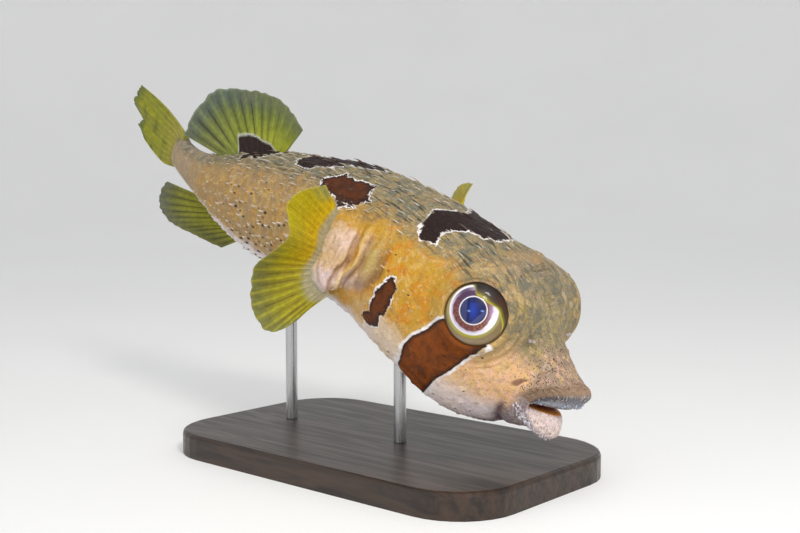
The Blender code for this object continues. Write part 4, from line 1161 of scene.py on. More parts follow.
    def lip_tone(self):
        """The lips and the inside of the mouth, by the number of the ring, with painted shade deep in the
        mouth, under the upper lip and in the fold above the corner.
        """
        angle, place, ring = self.angle, self.grid, self.ring
        upper = smooth(-4.0, 8.0, angle)
        lower = 1.0 - upper
        low_lip = mix(mix(BELLY, LIP_PINK, 0.6), LILAC, 0.75 * smooth(5.6, 7.0, ring))
        outer = np.where(upper[..., None] > 0.5, mix(SNOUT_TAN, LIP_BROWN, 0.80), low_lip)
        combs = 0.5 + 0.5 * np.sin(np.radians(self.p) * 110.0 + 2.5 * ripple(place, 5 * MM, 6.0))
        combs = combs * (0.35 + 0.65 * smooth(30.0, 70.0, angle))
        # painted shade: darkest deep inside the mouth, and the upper lip's striped underside darkened
        inner = painted(mix(MOUTH_DEEP_SHADE, MOUTH_ORANGE, smooth(0.3, 1.7, ring) * lower),
                        (LIP_PINK, smooth(1.75, 2.15, ring) * lower),
                        (mix(*LIP_COMBS_AND_SHADE, combs), smooth(1.9, 2.6, ring) * upper))
        speckle = smooth(0.0, 0.6, ripple(place, 2.6 * MM, 1.0)) * bell((ring - 3.6) / 1.1)
        rim = bell((ring - 2.9) / 0.35) * upper * smooth(8.0, 34.0, angle)
        corner = smooth(-62.0, -36.0, angle) * smooth(3.7, 4.7, ring) * lower
        return painted(mix(inner, outer, smooth(3.7, 4.8, ring)),
                       (LIP_SPECKLE, 0.75 * speckle * lower * bell((angle + 55.0) / 40.0)),
                       (LIP_WHITE, 0.55 * rim),
                       # painted shade in the fold above the mouth's corner
                       (CORNER_FOLD_SHADE, 0.20 * bell(angle / 14.0) * bell((ring - 5.6) / 1.3)),
                       (mix(*CORNER_STRIPES, self.stripes), 0.85 * corner))

    def snout_mark(self, tone):
        """The small reddish oval beside the mouth."""
        before = (MARK_AT - self.t) * BODY_LENGTH / MM
        above = (self.angle - MARK_ANGLE) * 0.42
        c, s = MARK_ALONG
        oval = np.hypot((c * before + s * above) / MARK_HALF[0], (s * before - c * above) / MARK_HALF[1])
        right_side = np.cos(np.radians(self.p)) > 0.0
        on_body = self.ring >= self.ring_total
        return mix(tone, SNOUT_MARK, 0.85 * smooth(1.25, 0.7, oval) * right_side * on_body)

    def lid_tone(self, tone):
        """The lids and the folds about them, by turn and by distance from the inner edge in mm, with painted
        shade where the lid turns down into the socket.
        """
        turn = self.rim_turn
        rim = self.rim - LID_INNER / MM
        folded = smooth(-60.0, 30.0, turn)
        return painted(tone, (LID_FOLD, 0.55 * bell((rim - 3.6) / 1.3) * folded),
                       (LID_TAN, 0.40 * bell((rim - 6.0) / 1.6) * folded),
                       (LID_PINK, 0.9 * bell((rim - 0.9) / 0.5) * bell((turn - 45.0) / 55.0)),
                       (LID_LINE, 0.85 * bell((rim - 1.9) / 0.5) * bell((turn + 5.0) / 50.0)),
                       # painted shade down the lid's inner wall into the socket
                       (LID_SOCKET_SHADE, smooth(0.55, -0.3, rim)))

    def mark_blotches(self):
        """How deep each point lies in a blotch, and how red, ragged and edged that blotch is."""
        t = self.t
        x, y = flat_map(t, self.angle)
        self.unrolled = np.stack([x, y, np.zeros(x.shape)], -1)
        depth = np.full(t.shape, -BLOTCH_REACH)
        self.red = np.zeros(t.shape)
        self.rag = np.zeros(t.shape)
        self.halo = np.ones(t.shape)
        for redness, ragged, width, corners in BLOTCHES:
            close = inside_distance(x, y, corners)
            first = close > depth
            wide = np.full(t.shape, width)
            if redness == 1.0:
                wide = width * (0.75 + 1.6 * smooth(-12.0, -52.0, self.angle) * smooth(0.200, 0.235, t))
            self.red = np.where(first, redness, self.red)
            self.rag = np.where(first, ragged, self.rag)
            self.halo = np.where(first, wide, self.halo)
            depth = np.maximum(depth, close)
        depth = np.clip(depth, -BLOTCH_REACH, BLOTCH_REACH)
        self.depth = np.where(self.ring < self.ring_total, -BLOTCH_REACH, depth)

    def make(self, finish):
        """The skin as a piece, with its colours and markings stored on its points."""
        points, faces = capped(self.grid, [self.grid[0].mean(0), self.grid[-1].mean(0)], True)
        skin = add_piece("skin", points, faces, finish)
        for name, field, start, end in (("tint", self.tone, MOUTH_DEEP_SHADE, TAN),
                                        ("patch", self.patch, ORANGE, TAN_BLOB)):
            set_layer(skin.data, name, np.concatenate([field.reshape(-1, 3), [start, end]]))
        flat = self.unrolled.reshape(-1, 3)
        set_layer(skin.data, "unrolled", np.concatenate([flat, flat[:1], flat[-1:]]))
        for name, field in (("gold", self.gold), ("backs", self.backs), ("lines", self.lines),
                            ("freckle", self.freckle), ("pale", self.pale), ("axil", self.axil),
                            ("blotch", self.depth), ("red", self.red), ("rag", self.rag),
                            ("halo", self.halo)):
            set_layer(skin.data, name, np.concatenate([field.ravel(), [field[0, 0], field[-1, 0]]]))
        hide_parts("head", "torso", "tail")


def bare(root, t, phi):
    """Whether a spine rooted here would reach an eye, the mouth, a fin or the gills."""
    for middle, _ in ORBITS.values():
        if np.linalg.norm(root - middle) < ORBIT_RADIUS + CLEAR_OF_EYE:
            return True
    for first, last, low, high in CLEAR_PATCHES:
        if first < t < last and low < side_angle(phi) < high:
            return True
    return False


def spine_mesh(root, direction, across, out, length, half):
    """Rings of a slender spine that bends down towards its tip."""
    rings = []
    for share, size in SPINE_PROFILE:
        middle = root + direction * length * share + out * length * 0.10 * math.sin(math.pi * share)
        turn = np.arange(SPINE_SIDES) * 2.0 * math.pi / SPINE_SIDES
        ring = across * np.cos(turn)[:, None] + out * np.sin(turn)[:, None]
        rings.append(middle + ring * half * size)
    return rings, root + direction * length


def spine_sizes(t, angle):
    """Length, half thickness, lift and whiteness of a spine, and how pale and dark the skin about it is."""
    rear = float(smooth(0.42, 0.52, t))
    face = float(smooth(0.24, 0.17, t))
    on_back = float(smooth(20.0, 42.0, angle)) * (1.0 - 0.9 * face)
    under = float(smooth(-25.0, -55.0, angle))
    end = float(smooth(0.66, 0.84, t))
    low = float(smooth(32.0, -12.0, angle))
    length = (3.9 + 0.7 * rear - 1.9 * face + (4.4 - 2.4 * end) * on_back - 0.6 * under - 1.2 * end) * MM
    half = (0.40 + 0.20 * rear * low - 0.05 * face - 0.06 * on_back - 0.05 * end) * MM
    lift = math.radians(6.0 + 8.0 * rear * low)
    white = (0.60 + 0.30 * rear * low) * (1.0 - 0.4 * face) + 0.10 * on_back
    pale = (0.30 + 0.40 * rear * low) * (1.0 - 0.6 * face)
    dark = (0.95 - 0.30 * rear * (1.0 - low)) * (1.0 - 0.4 * on_back) * (1.0 - 0.7 * end)
    return length, half, lift, white, pale, dark


def plan_spines(draw):
    """Staggered rows of roots: t, phi and two random numbers each."""
    plan = []
    move_by, turn_by = SPINE_JITTER
    t = SPINE_FROM
    row = 0
    while t < SPINE_TO:
        gap = (SPINE_GAP - 2.9 * float(smooth(0.38, 0.50, t)) - 0.8 * float(smooth(0.20, 0.30, t))) * MM
        half, above, below = size_at(t)
        count = int(round(math.pi * (half + 0.5 * (above + below)) / gap))
        for k in range(count):
            phi = 360.0 * (k + 0.5 * (row % 2)) / count + 90.0 + draw.uniform(-turn_by, turn_by)
            plan.append((t + draw.uniform(-move_by, move_by), phi % 360.0, draw.random(), draw.random()))
        t += 0.92 * gap / BODY_LENGTH
        row += 1
    return plan


def spine_axes(skin, grid, t, phi):
    """Root of a spine, and the ways outwards, backwards and across from it."""
    root = skin.sample(grid, t, phi)
    normal = unit(skin.sample(skin.normals, t, phi))
    back = unit(skin.sample(grid, min(t + 0.012, 0.999), phi) - root)
    back = unit(back - normal * (back @ normal))
    return root, normal, back, np.cross(normal, back)


def make_spines(skin, finish):
    """Short spines that lie back in rows, each in its own sheath."""
    points, faces, tints, places = [], [], [], []
    skin.normals = grid_normals(skin.grid)
    start_grid = skin.grid.copy()
    for t, phi, size_draw, lift_draw in plan_spines(random.Random(SPINE_SEED)):
        root, normal, back, across = spine_axes(skin, start_grid, t, phi)
        marked = skin.sample(skin.depth, t, phi) > -1.0
        hidden = share_of_head(t, phi) < 0.02 or skin.sample(skin.smooth_skin, t, phi) > 0.3
        if hidden or bare(root, t, phi) or (marked and size_draw < 0.55):
            continue
        length, half, lift, white, pale, dark = spine_sizes(t, float(side_angle(phi)))
        length *= 0.60 + 0.65 * size_draw
        lift *= 0.3 + 1.2 * lift_draw
        white = min(1.0, white * (0.55 + 0.9 * lift_draw))
        pale *= 0.15 + 0.85 * size_draw
        foot = 0.85 * np.clip(skin.sample(skin.tone, t, phi), 0.0, 1.0)
        if marked:
            length *= 0.7
            pale = 0.0
            white = 0.12
            foot = np.array(SPINE_FOOT)
        row_at = float(skin.row_of(t, phi))
        skin.last = (int(round(row_at)), int(phi / 360.0 * SKIN_COLUMNS))
        spot_size = (0.58 + 0.42 * float(smooth(0.42, 0.52, t))) * (0.7 + 0.7 * size_draw) * MM
        spot_dark = dark * (0.30 + 0.70 * lift_draw)
        skin.raise_sheath(root, back, across, 0.62 * length, pale, spot_dark, spot_size)
        direction = back * math.cos(lift) + normal * math.sin(lift)
        base = root - normal * 0.35 * MM - back * 0.4 * MM
        rings, tip = spine_mesh(base, direction, across, normal, length, half)
        faces += finger_faces(len(points), len(rings), SPINE_SIDES)
        for number, ring in enumerate(rings):
            points.extend(ring)
            share = white * smooth(0.0, 0.6, number / len(rings))
            tints.extend([mix(foot, SPINE_PALE, share)] * SPINE_SIDES)
        points.append(tip)
        tints.append(mix(foot, SPINE_TIP, 0.4 + 0.6 * white))
        places.append((phi / 360.0, row_at / len(skin.grid)))
    piece = add_piece("spines", points, faces, finish)
    set_layer(piece.data, "tint", tints)
    bake_patches(piece, places)


def bake_patches(piece, places):
    """A map on which each spine is a small patch at its root's place on the unrolled skin."""
    each = len(SPINE_PROFILE) * SPINE_SIDES + 1
    loops = np.zeros(len(piece.data.loops), np.int32)
    piece.data.loops.foreach_get("vertex_index", loops)
    ring, step = np.divmod(loops % each, SPINE_SIDES)
    turn = step * 2.0 * math.pi / SPINE_SIDES
    reach = BAKE_PATCH * (1.0 - ring / len(SPINE_PROFILE))
    uv = 0.004 + 0.992 * np.array(places)[loops // each]
    uv = uv + np.stack([reach * np.cos(turn), reach * np.sin(turn)], -1)
    layer = piece.data.uv_layers.new(name="OFBake")
    layer.data.foreach_set("uv", uv.astype(np.float32).ravel())


# The eyes: their grid, then in mm the pupil, its shift from the eye's middle and the dark fold's edge
EYE_RINGS = 150
EYE_SIDES = 144
EYE_BEHIND = 16.0
PUPIL = 5.60
EYE_SHIFT = (-0.6, 1.9)
FOLD_TURN = (-180.0, -60.0, -25.0, -10.0, 0.0, 6.0, 12.0, 52.0, 71.0, 84.0, 100.0, 122.0, 180.0)
FOLD_MM = (16.0, 15.5, 13.4, 11.2, 9.2, 6.9, 6.3, 6.45, 7.8, 9.8, 11.1, 13.8, 16.0)
fold_edge = through(FOLD_TURN, FOLD_MM)

# Colours of the eye, among them painted reflections and glints on the pupil and painted shade under the lid
IRIS_SPOKES = ((0.085, 0.020, 0.024), (0.25, 0.085, 0.065))
IRIS_VIOLET = (0.060, 0.030, 0.110)
IRIS_LILAC = (0.40, 0.28, 0.46)
IRIS_RUST = (0.42, 0.16, 0.06)
IRIS_SHADE = (0.070, 0.034, 0.085)
BAND_TONES = ((0.44, 0.32, 0.46), (0.72, 0.66, 0.78))
BAND_LINE = (0.34, 0.28, 0.40)
BAND_PALE = (0.90, 0.86, 0.92)
BAND_WHITE = (0.93, 0.88, 0.88)
RIM_TONES = ((0.30, 0.24, 0.15), (0.44, 0.42, 0.03))
RIM_OUTER = ((0.22, 0.15, 0.060), (0.30, 0.22, 0.11))
RIM_GREY = (0.34, 0.27, 0.24)
PUPIL_BLUES = ((0.008, 0.011, 0.070), (0.014, 0.042, 0.33))
# painted reflections in the pupil, pale and dark
PUPIL_PALE_REFLECTION = (0.040, 0.050, 0.15)
PUPIL_DARK_REFLECTION = (0.004, 0.006, 0.035)
PUPIL_SLANTED_REFLECTION = (0.060, 0.070, 0.20)
PUPIL_TOP_REFLECTION = (0.006, 0.008, 0.045)
PUPIL_RING = (0.90, 0.88, 0.92)
PAINTED_GLINT = (0.30, 0.50, 1.0)
FOLD_YELLOWS = ((0.50, 0.44, 0.03), (0.17, 0.145, 0.018))
FOLD_BROWN = (0.055, 0.034, 0.012)
FOLD_BLACK = (0.010, 0.005, 0.003)
FOLD_OLIVE = (0.15, 0.15, 0.06)
FOLD_RED = (0.10, 0.028, 0.012)
EYE_SIDE_SHADE = ((0.12, 0.075, 0.030), (0.020, 0.011, 0.006))


def about_pupil(wide, turn):
    """A place on the eye's face as x to the front, y up, distance and turn about the pupil."""
    x = wide * np.sin(np.radians(turn)) - EYE_SHIFT[0]
    y = wide * np.cos(np.radians(turn)) - EYE_SHIFT[1]
    return x, y, np.hypot(x, y), np.degrees(np.arctan2(x, y))


def iris_tone(a, turn):
    """The spoked iris, the pale band about it and the outer rim, by distance and turn."""
    waves = np.sin(np.radians(turn) * 23.0 + 2.2 * np.sin(a * 2.3)) * np.sin(a * 3.1 + turn * 0.11)
    spoke = 0.5 + 0.5 * waves
    iris = painted(mix(*IRIS_SPOKES, spoke),
                   (IRIS_VIOLET, 0.85 * bell((turn + 18.0) / 34.0)),
                   (IRIS_LILAC, 0.70 * bell((turn - 95.0) / 32.0) * smooth(6.2, 7.2, a)),
                   (IRIS_RUST, 0.60 * bell((turn - 165.0) / 45.0) * smooth(0.35, 0.8, spoke)))
    inner = 8.15 + 0.08 * np.sin(np.radians(turn) * 17.0)
    for wider, at, spread in ((0.55, -180.0, 45.0), (0.55, 180.0, 40.0), (-0.5, 115.0, 35.0),
                              (0.65, -85.0, 45.0)):
        inner = inner + wider * bell((turn - at) / spread)
    band = painted(mix(*BAND_TONES, smooth(inner, inner + 0.9, a)),
                   (BAND_LINE, 0.60 * bell((a - inner - 1.15) / 0.20) * smooth(60.0, 20.0, turn)),
                   (BAND_PALE, 0.90 * bell((a - 10.0) / 0.35)),
                   (BAND_WHITE, 0.90 * bell((turn - 128.0) / 34.0) * smooth(inner - 0.1, inner + 0.5, a)))
    low = np.maximum(bell((turn + 165.0) / 50.0), bell((turn - 195.0) / 45.0))
    rim = painted(mix(*RIM_TONES, 0.25 + 0.75 * low),
                  (mix(*RIM_OUTER, low), smooth(11.0, 12.2, a)),
                  (RIM_GREY, 0.5 * bell((a - 13.4) / 0.6) * low))
    return painted(iris, (band, smooth(inner - 0.15, inner + 0.15, a)),
                   (IRIS_SHADE, 0.95 * bell((turn + 28.0) / 36.0) * smooth(9.9, 9.3, a)),
                   (rim, smooth(10.3, 10.6, a)))


def pupil_tone(x, y):
    """The blue pupil with painted reflections: pale and dark stripes mirrored in it."""
    slanted = x * 0.70 - y * 0.72
    return painted(mix(*PUPIL_BLUES, bell((x + 0.1) / 2.2) * bell((y - 0.2) / 4.0)),
                   (PUPIL_PALE_REFLECTION, 0.80 * smooth(-2.5, -2.7, x) * smooth(-5.2, -5.0, x)),
                   (PUPIL_DARK_REFLECTION, 0.75 * bell((x + 2.0) / 0.5)),
                   (PUPIL_SLANTED_REFLECTION, 0.75 * smooth(3.0, 3.2, slanted) * smooth(5.1, 4.9, slanted)),
                   (PUPIL_TOP_REFLECTION, 0.70 * smooth(3.0, 3.6, y) * smooth(-2.0, 0.5, x)))


def fold_tone(over, turn):
    """The dark fold over the eye's upper front, yellow along its edge, by distance from the edge."""
    return painted(mix(*FOLD_YELLOWS, smooth(0.2, 1.0, over)),
                   (FOLD_BROWN, smooth(1.0, 2.0, over)),
                   (FOLD_BLACK, smooth(2.0, 3.4, over)),
                   (FOLD_OLIVE, 0.70 * bell((turn + 8.0) / 16.0) * smooth(2.5, 0.8, over)),
                   (FOLD_RED, 0.60 * bell((turn - 82.0) / 22.0) * smooth(2.0, 3.2, over)))


def eye_colours(wide, turn):
    """Colours of an eye by distance from its middle, in mm, and turn about it, with painted glints and
    painted shade under the lid.
    """
    x, y, a, turn = about_pupil(wide, turn)
    a = np.where(wide > EYE_BEHIND - 0.1, EYE_BEHIND, a)
    tone = painted(pupil_tone(x, y), (iris_tone(a, turn), smooth(PUPIL - 0.12, PUPIL + 0.12, a)),
                   (PUPIL_RING, 0.95 * bell((a - PUPIL - 0.22) / 0.22)))
    # painted glints: two small pale blue highlights on the pupil
    for glint_x, glint_y in ((-1.7, -0.2), (3.9, 0.0)):
        tone = mix(tone, PAINTED_GLINT, 0.8 * bell(np.hypot((x - glint_x) / 0.55, (y - glint_y) / 0.30)))
    over = a - fold_edge(turn)
    # painted shade: the eye darkens towards its edge, where the lid overhangs it
    shade = mix(*EYE_SIDE_SHADE, np.clip(0.15 + bell((turn - 30.0) / 75.0), 0.0, 1.0))
    return painted(tone, (fold_tone(over, turn), smooth(-0.10, 0.10, over)),
                   (shade, smooth(12.3, 13.0, wide)))


def make_eye(name, node, side, finish):
    """An eyeball with its pupil, rings and the dark fold that covers its upper front."""
    middle, facing = ORBITS[side]
    ahead, over = orbit_frame(side)
    centre = middle - facing * EYE_SUNK
    around = np.arange(EYE_SIDES) * 2.0 * math.pi / EYE_SIDES
    outwards = ahead * np.sin(around)[:, None] + over * np.cos(around)[:, None]
    turn = np.degrees(around)
    turn = np.where(turn > 180.0, turn - 360.0, turn)
    rows = []
    widths = []
    for s in np.linspace(0.0, 1.0, EYE_RINGS + 1)[1:]:
        wide = EYE_RADIUS * s * 0.999
        deep = EYE_DEPTH * math.sqrt(max(0.0, 1.0 - (wide / EYE_RADIUS) ** 2))
        deep += CORNEA_RISE * max(0.0, 1.0 - (wide / CORNEA_RADIUS) ** 2)
        distance, about = about_pupil(wide / MM, turn)[2:]
        fold = 0.35 * MM * smooth(0.0, 0.45, distance - fold_edge(about)) * (wide / MM < 14.0)
        rows.append(centre + facing * (deep + fold)[:, None] + outwards * wide)
        widths.append(wide / MM)
    rim = rows[-1]
    for s in (0.92, 0.6, 0.25):
        rows.append(centre + (rim - centre) * s - facing * EYE_DEPTH * math.sqrt(1.0 - s * s))
        widths.append(EYE_BEHIND)
    ends = [centre + facing * (EYE_DEPTH + CORNEA_RISE), centre - facing * EYE_DEPTH]
    points, faces = capped(np.array(rows), ends, side > 0)
    wide = np.append(np.repeat(widths, EYE_SIDES), [0.0, EYE_BEHIND])
    turn = np.append(np.tile(turn, len(rows)), [0.0, 0.0])
    eye = add_piece(name, points, faces, finish)
    set_layer(eye.data, "tint", eye_colours(wide, turn))
    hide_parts(node)


# Fins: the fine grid and waviness, the dark patch at the dorsal fin's root and the lobes' grid
FIN_STEPS = 46
FIN_GAP = 10
FIN_WAVE = 0.5 * MM
PATCH_ALONG = (0.0, 0.05, 0.22, 0.40, 0.54, 0.65, 0.76, 1.0)
PATCH_HIGH = (0.05, 0.12, 0.22, 0.30, 0.36, 0.33, 0.10, 0.0)
LOBE_STEPS = 60
LOBE_SIDES = 96

# Colours of the fins
DORSAL_TONES = ((0.26, 0.30, 0.018), (0.17, 0.20, 0.032))
DORSAL_YELLOW = (0.40, 0.42, 0.03)
DORSAL_TEAL = (0.085, 0.125, 0.105)
DORSAL_GREY = (0.16, 0.17, 0.085)
DORSAL_EDGE = (0.34, 0.42, 0.30)
DORSAL_STREAK = (0.016, 0.024, 0.020)
DORSAL_RAYS = (0.32, 0.38, 0.10)
DORSAL_MARGIN = (0.145, 0.150, 0.080)
PATCH_EDGE = (0.62, 0.64, 0.58)
# the anal fin's own olive, darkened with painted shade
ANAL_TONES_AND_SHADE = ((0.26, 0.26, 0.012), (0.13, 0.135, 0.030))
ANAL_GREY = (0.11, 0.12, 0.085)
ANAL_STREAK = (0.018, 0.018, 0.012)
ANAL_RAYS = (0.28, 0.27, 0.05)
CAUDAL_TONES = ((0.30, 0.26, 0.05), (0.25, 0.25, 0.016))
CAUDAL_DARK = (0.09, 0.10, 0.015)
CAUDAL_RAYS = (0.40, 0.42, 0.05)
CAUDAL_MARGIN = (0.10, 0.14, 0.045)
PECTORAL_TONES = ((0.56, 0.38, 0.004), (0.47, 0.40, 0.006))
PECTORAL_LOW = (0.30, 0.28, 0.016)
PECTORAL_LOW_EDGE = (0.18, 0.19, 0.06)
PECTORAL_TOP = (0.20, 0.26, 0.16)
PECTORAL_EDGE = (0.34, 0.34, 0.12)
PECTORAL_STREAK = (0.115, 0.075, 0.018)
PECTORAL_ORANGE = (0.40, 0.20, 0.005)
PECTORAL_RAYS = (0.62, 0.54, 0.03)
PECTORAL_FUZZ = ((0.31, 0.27, 0.17), (0.42, 0.37, 0.25))
LOBE_TAN = (0.80, 0.62, 0.42)
LOBE_ROOT = (0.52, 0.38, 0.22)


def median_rays(base, angles, lengths, phi, swing):
    """Rays of a fin on the midline, as in the solids."""
    at = np.linspace(0.0, 1.0, len(angles))
    angle_at = through(at, angles)
    length_at = through(at, lengths)
    forward, right, up = body_axes(np.array(0.5 * (base[0] + base[1])))
    swing = math.radians(swing)
    back = -forward * math.cos(swing) + right * math.sin(swing)
    away = up if phi == 90.0 else -up

    def path(u, along):
        t = base[0] + (base[1] - base[0]) * u
        start = body(t, phi)
        sunk = start - away * FIN_ROOT
        angle = math.radians(float(angle_at(u)))
        tip = start + (back * math.cos(angle) + away * math.sin(angle)) * float(length_at(u)) * MM
        return sunk + (tip - sunk) * along[:, None]

    return path


def tail_rays():
    """Rays of the tail fin, as in the solids."""
    back_at = through(TAIL_TIP_AT, TAIL_TIP_BACK)
    up_at = through(TAIL_TIP_AT, TAIL_TIP_UP)
    forward, right, up = body_axes(np.array(1.0))
    swing = math.radians(TAIL_SWING)
    back = -forward * math.cos(swing) + right * math.sin(swing)
    base = axis_point(1.0) + forward * TAIL_ROOT

    def path(u, along):
        high = TAIL_BASE_HALF * (1.0 - 2.0 * u)
        bow = TAIL_BOW * (1.0 - 2.0 * u) * np.sin(math.pi * along ** 0.8)
        far = float(back_at(u)) * along
        rise = high + (float(up_at(u)) - high) * along + bow
        turned = np.clip(along * 3.0, 0.0, 1.0)[:, None]
        away = back * turned - forward * (1.0 - turned)
        return base + (away * far[:, None] + up * rise[:, None]) * MM

    return path


class Pectoral:
    """The frame, the fleshy lobe and the rays of a pectoral fin, as in the solids."""

    def __init__(self, side, tip_back, tip_up, tip_forward):
        forward, right, up = body_axes(np.array(PECTORAL_AT))
        half = size_at(PECTORAL_AT)[0]
        turn = math.radians(PECTORAL_TURN)
        self.side = side
        self.out = right * side
        self.back = -forward * math.cos(turn) + self.out * math.sin(turn)
        self.up = up
        self.ahead = -np.cross(self.back, self.up) * side
        self.middle = axis_point(PECTORAL_AT) + self.out * (half + PECTORAL_OUT)
        at = np.linspace(0.0, 1.0, len(LOBE_UP))
        self.curves = [through(at, values) for values in (LOBE_BACK, LOBE_UP, tip_back, tip_up, tip_forward)]

    def place(self, back, up, ahead):
        return self.middle + (self.back * back + self.up * up + self.ahead * ahead) * MM

    def path(self, u, along):
        base_back, base_up, tip_back, tip_up, tip_ahead = [float(curve(u)) for curve in self.curves]
        start = self.place(base_back - 4.0, base_up * 0.96, 0.0)
        tip = self.place(tip_back, tip_up, tip_ahead)
        bend = self.place(base_back + 0.45 * (tip_back - base_back), base_up + 0.5 * (tip_up - base_up),
                          0.25 * tip_ahead)
        s = along[:, None]
        return start * (1 - s) ** 2 + bend * 2 * s * (1 - s) + tip * s * s

    def lobe_piece(self, finish):
        """The fleshy base, which swells from the body and thins out over the rays."""
        back_at, up_at = self.curves[0], self.curves[1]
        thick_at = through(np.linspace(0.0, 1.0, len(LOBE_THICK)), LOBE_THICK)
        grid = np.zeros((LOBE_STEPS + 1, LOBE_SIDES, 3))
        shares = np.linspace(0.30, 1.12, LOBE_STEPS + 1)
        turns = np.arange(LOBE_SIDES) * 2.0 * math.pi / LOBE_SIDES
        for j, share in enumerate(shares):
            within = min(share, 1.0)
            narrow = LOBE_NARROW + (1.0 - LOBE_NARROW) * within
            thick = float(thick_at(within)) * max(0.0, 1.0 - (share - within) / 0.125) ** 0.6
            thick *= 0.45 + 0.55 * float(smooth(0.75, 1.0, within))
            for k, turn in enumerate(turns):
                u = 0.5 - 0.5 * math.cos(turn) * 0.998
                high = float(up_at(u)) * narrow + 0.4
                far = LOBE_INNER + (float(back_at(u)) - LOBE_INNER) * share
                bulge = math.copysign(abs(math.sin(turn)) ** 0.8, math.sin(turn))
                grid[j, k] = self.place(far, high, thick * bulge - LOBE_BEND * (1.0 - within) ** 2)
        u = np.broadcast_to(0.5 - 0.5 * np.cos(turns), grid.shape[:2])
        s = np.broadcast_to(shares[:, None], grid.shape[:2])
        tone = painted(mix(LOBE_PINK, LOBE_LILAC, smooth(0.5, 0.85, u + 0.08 * ripple(grid, 12 * MM))),
                       (LOBE_TAN, 0.5 * bell((s - 0.45) / 0.12)),
                       (LOBE_FRINGE, smooth(0.84, 1.06, s + 0.05 * ripple(grid, 7 * MM, 3.0))),
                       (LOBE_ROOT, 0.6 * smooth(0.35, 0.05, s)))
        points, faces = capped(grid, [grid[0].mean(0), grid[-1].mean(0)], self.side < 0)
        name = "lobe_right" if self.side > 0 else "lobe_left"
        piece = add_piece(name, points, faces, finish)
        set_layer(piece.data, "tint", np.concatenate([tone.reshape(-1, 3), [LOBE_PINK, LOBE_PINK]]))


PECTORALS = (Pectoral(1, RIGHT_BACK, RIGHT_UP, RIGHT_FORWARD),
             Pectoral(-1, LEFT_BACK, LEFT_UP, LEFT_FORWARD))


def make_fin(name, node, path, count, paint, finish, root_half=0.0, seed=1.0):
    """A thin fin with branching rays raised on both faces and a softly notched edge."""
    columns = (count - 1) * FIN_GAP + 1
    rows = FIN_STEPS + 1
    across = np.linspace(0.0, 1.0, columns)
    along = np.linspace(0.0, 1.0, rows)
    ray = across * (count - 1)
    off = np.abs(ray - np.round(ray))
    grid = np.zeros((columns, rows, 3))
    for i, u in enumerate(across):
        notch = 0.014 * (2.0 * off[i]) ** 1.5 + 0.010 * (0.5 + 0.5 * math.sin(41.0 * u + seed))
        notch = notch + 0.005 * math.sin(97.0 * u + 2 * seed)
        grid[i] = path(u, along * (1.0 - max(0.0, notch)))
    s = np.broadcast_to(along, (columns, rows))
    phase = np.broadcast_to(off[:, None], s.shape)
    u = np.broadcast_to(across[:, None], s.shape)
    split = smooth(0.35, 0.62, s)
    stem = bell(phase / 0.13)
    branches = bell((phase - 0.15) / 0.075) + 0.5 * bell((phase - 0.32) / 0.06) * smooth(0.62, 0.8, s)
    joints = 1.0 + 0.16 * np.sin(s * 190.0) * smooth(0.2, 0.4, s)
    ridge = (stem * (1.0 - split) + 0.8 * branches * split) * joints * (0.35 + 0.65 * smooth(0.10, 0.38, s))
    thick = (0.20 + (0.62 - 0.40 * s) * ridge) * MM * (1.0 - 0.45 * smooth(0.8, 1.0, s))
    thick = thick + root_half * np.clip(1.0 - s / 0.22, 0.0, 1.0) ** 1.5
    normal = unit(np.cross(np.gradient(grid, axis=0), np.gradient(grid, axis=1)))
    sway = np.sin(u * 17.0 + 2.0 * s + seed) + 0.6 * np.sin(u * 31.0 + seed * 2.0)
    grid = grid + normal * (FIN_WAVE * sway * smooth(0.15, 1.0, s))[..., None]
    lifted = normal * thick[..., None]
    points = np.concatenate([(grid + lifted).reshape(-1, 3), (grid - lifted).reshape(-1, 3)])
    front = strip_faces(columns, rows, closed=False)
    other = columns * rows
    border = [i * rows for i in range(columns)]
    border += [(columns - 1) * rows + j for j in range(1, rows)]
    border += [i * rows + FIN_STEPS for i in range(columns - 2, -1, -1)]
    border = np.array(border + list(range(FIN_STEPS - 1, 0, -1)))
    after = np.roll(border, -1)
    sides = np.stack([border, border + other, after + other, after], -1)
    faces = np.concatenate([front, front[:, ::-1] + other, sides]).tolist()
    piece = add_piece(name, points, faces, finish)
    set_layer(piece.data, "tint", np.concatenate([paint(u, s, phase, grid).reshape(-1, 3)] * 2))
    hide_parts(node)


def streaks(phase, s, u, first, last, strength):
    """Dark streaks in the membrane between rays."""
    width = 0.12 + 0.04 * np.sin(23.0 * u)
    beside = 0.45 * bell((phase - 0.26) / 0.045) * smooth(0.4, 0.6, s)
    middle = np.maximum(bell((phase - 0.5) / width), beside)
    lengths = 0.75 + 0.25 * np.sin(57.0 * u + 1.0)
    return strength * middle * smooth(first, first + 0.15, s) * smooth(last, last - 0.25, s) * lengths


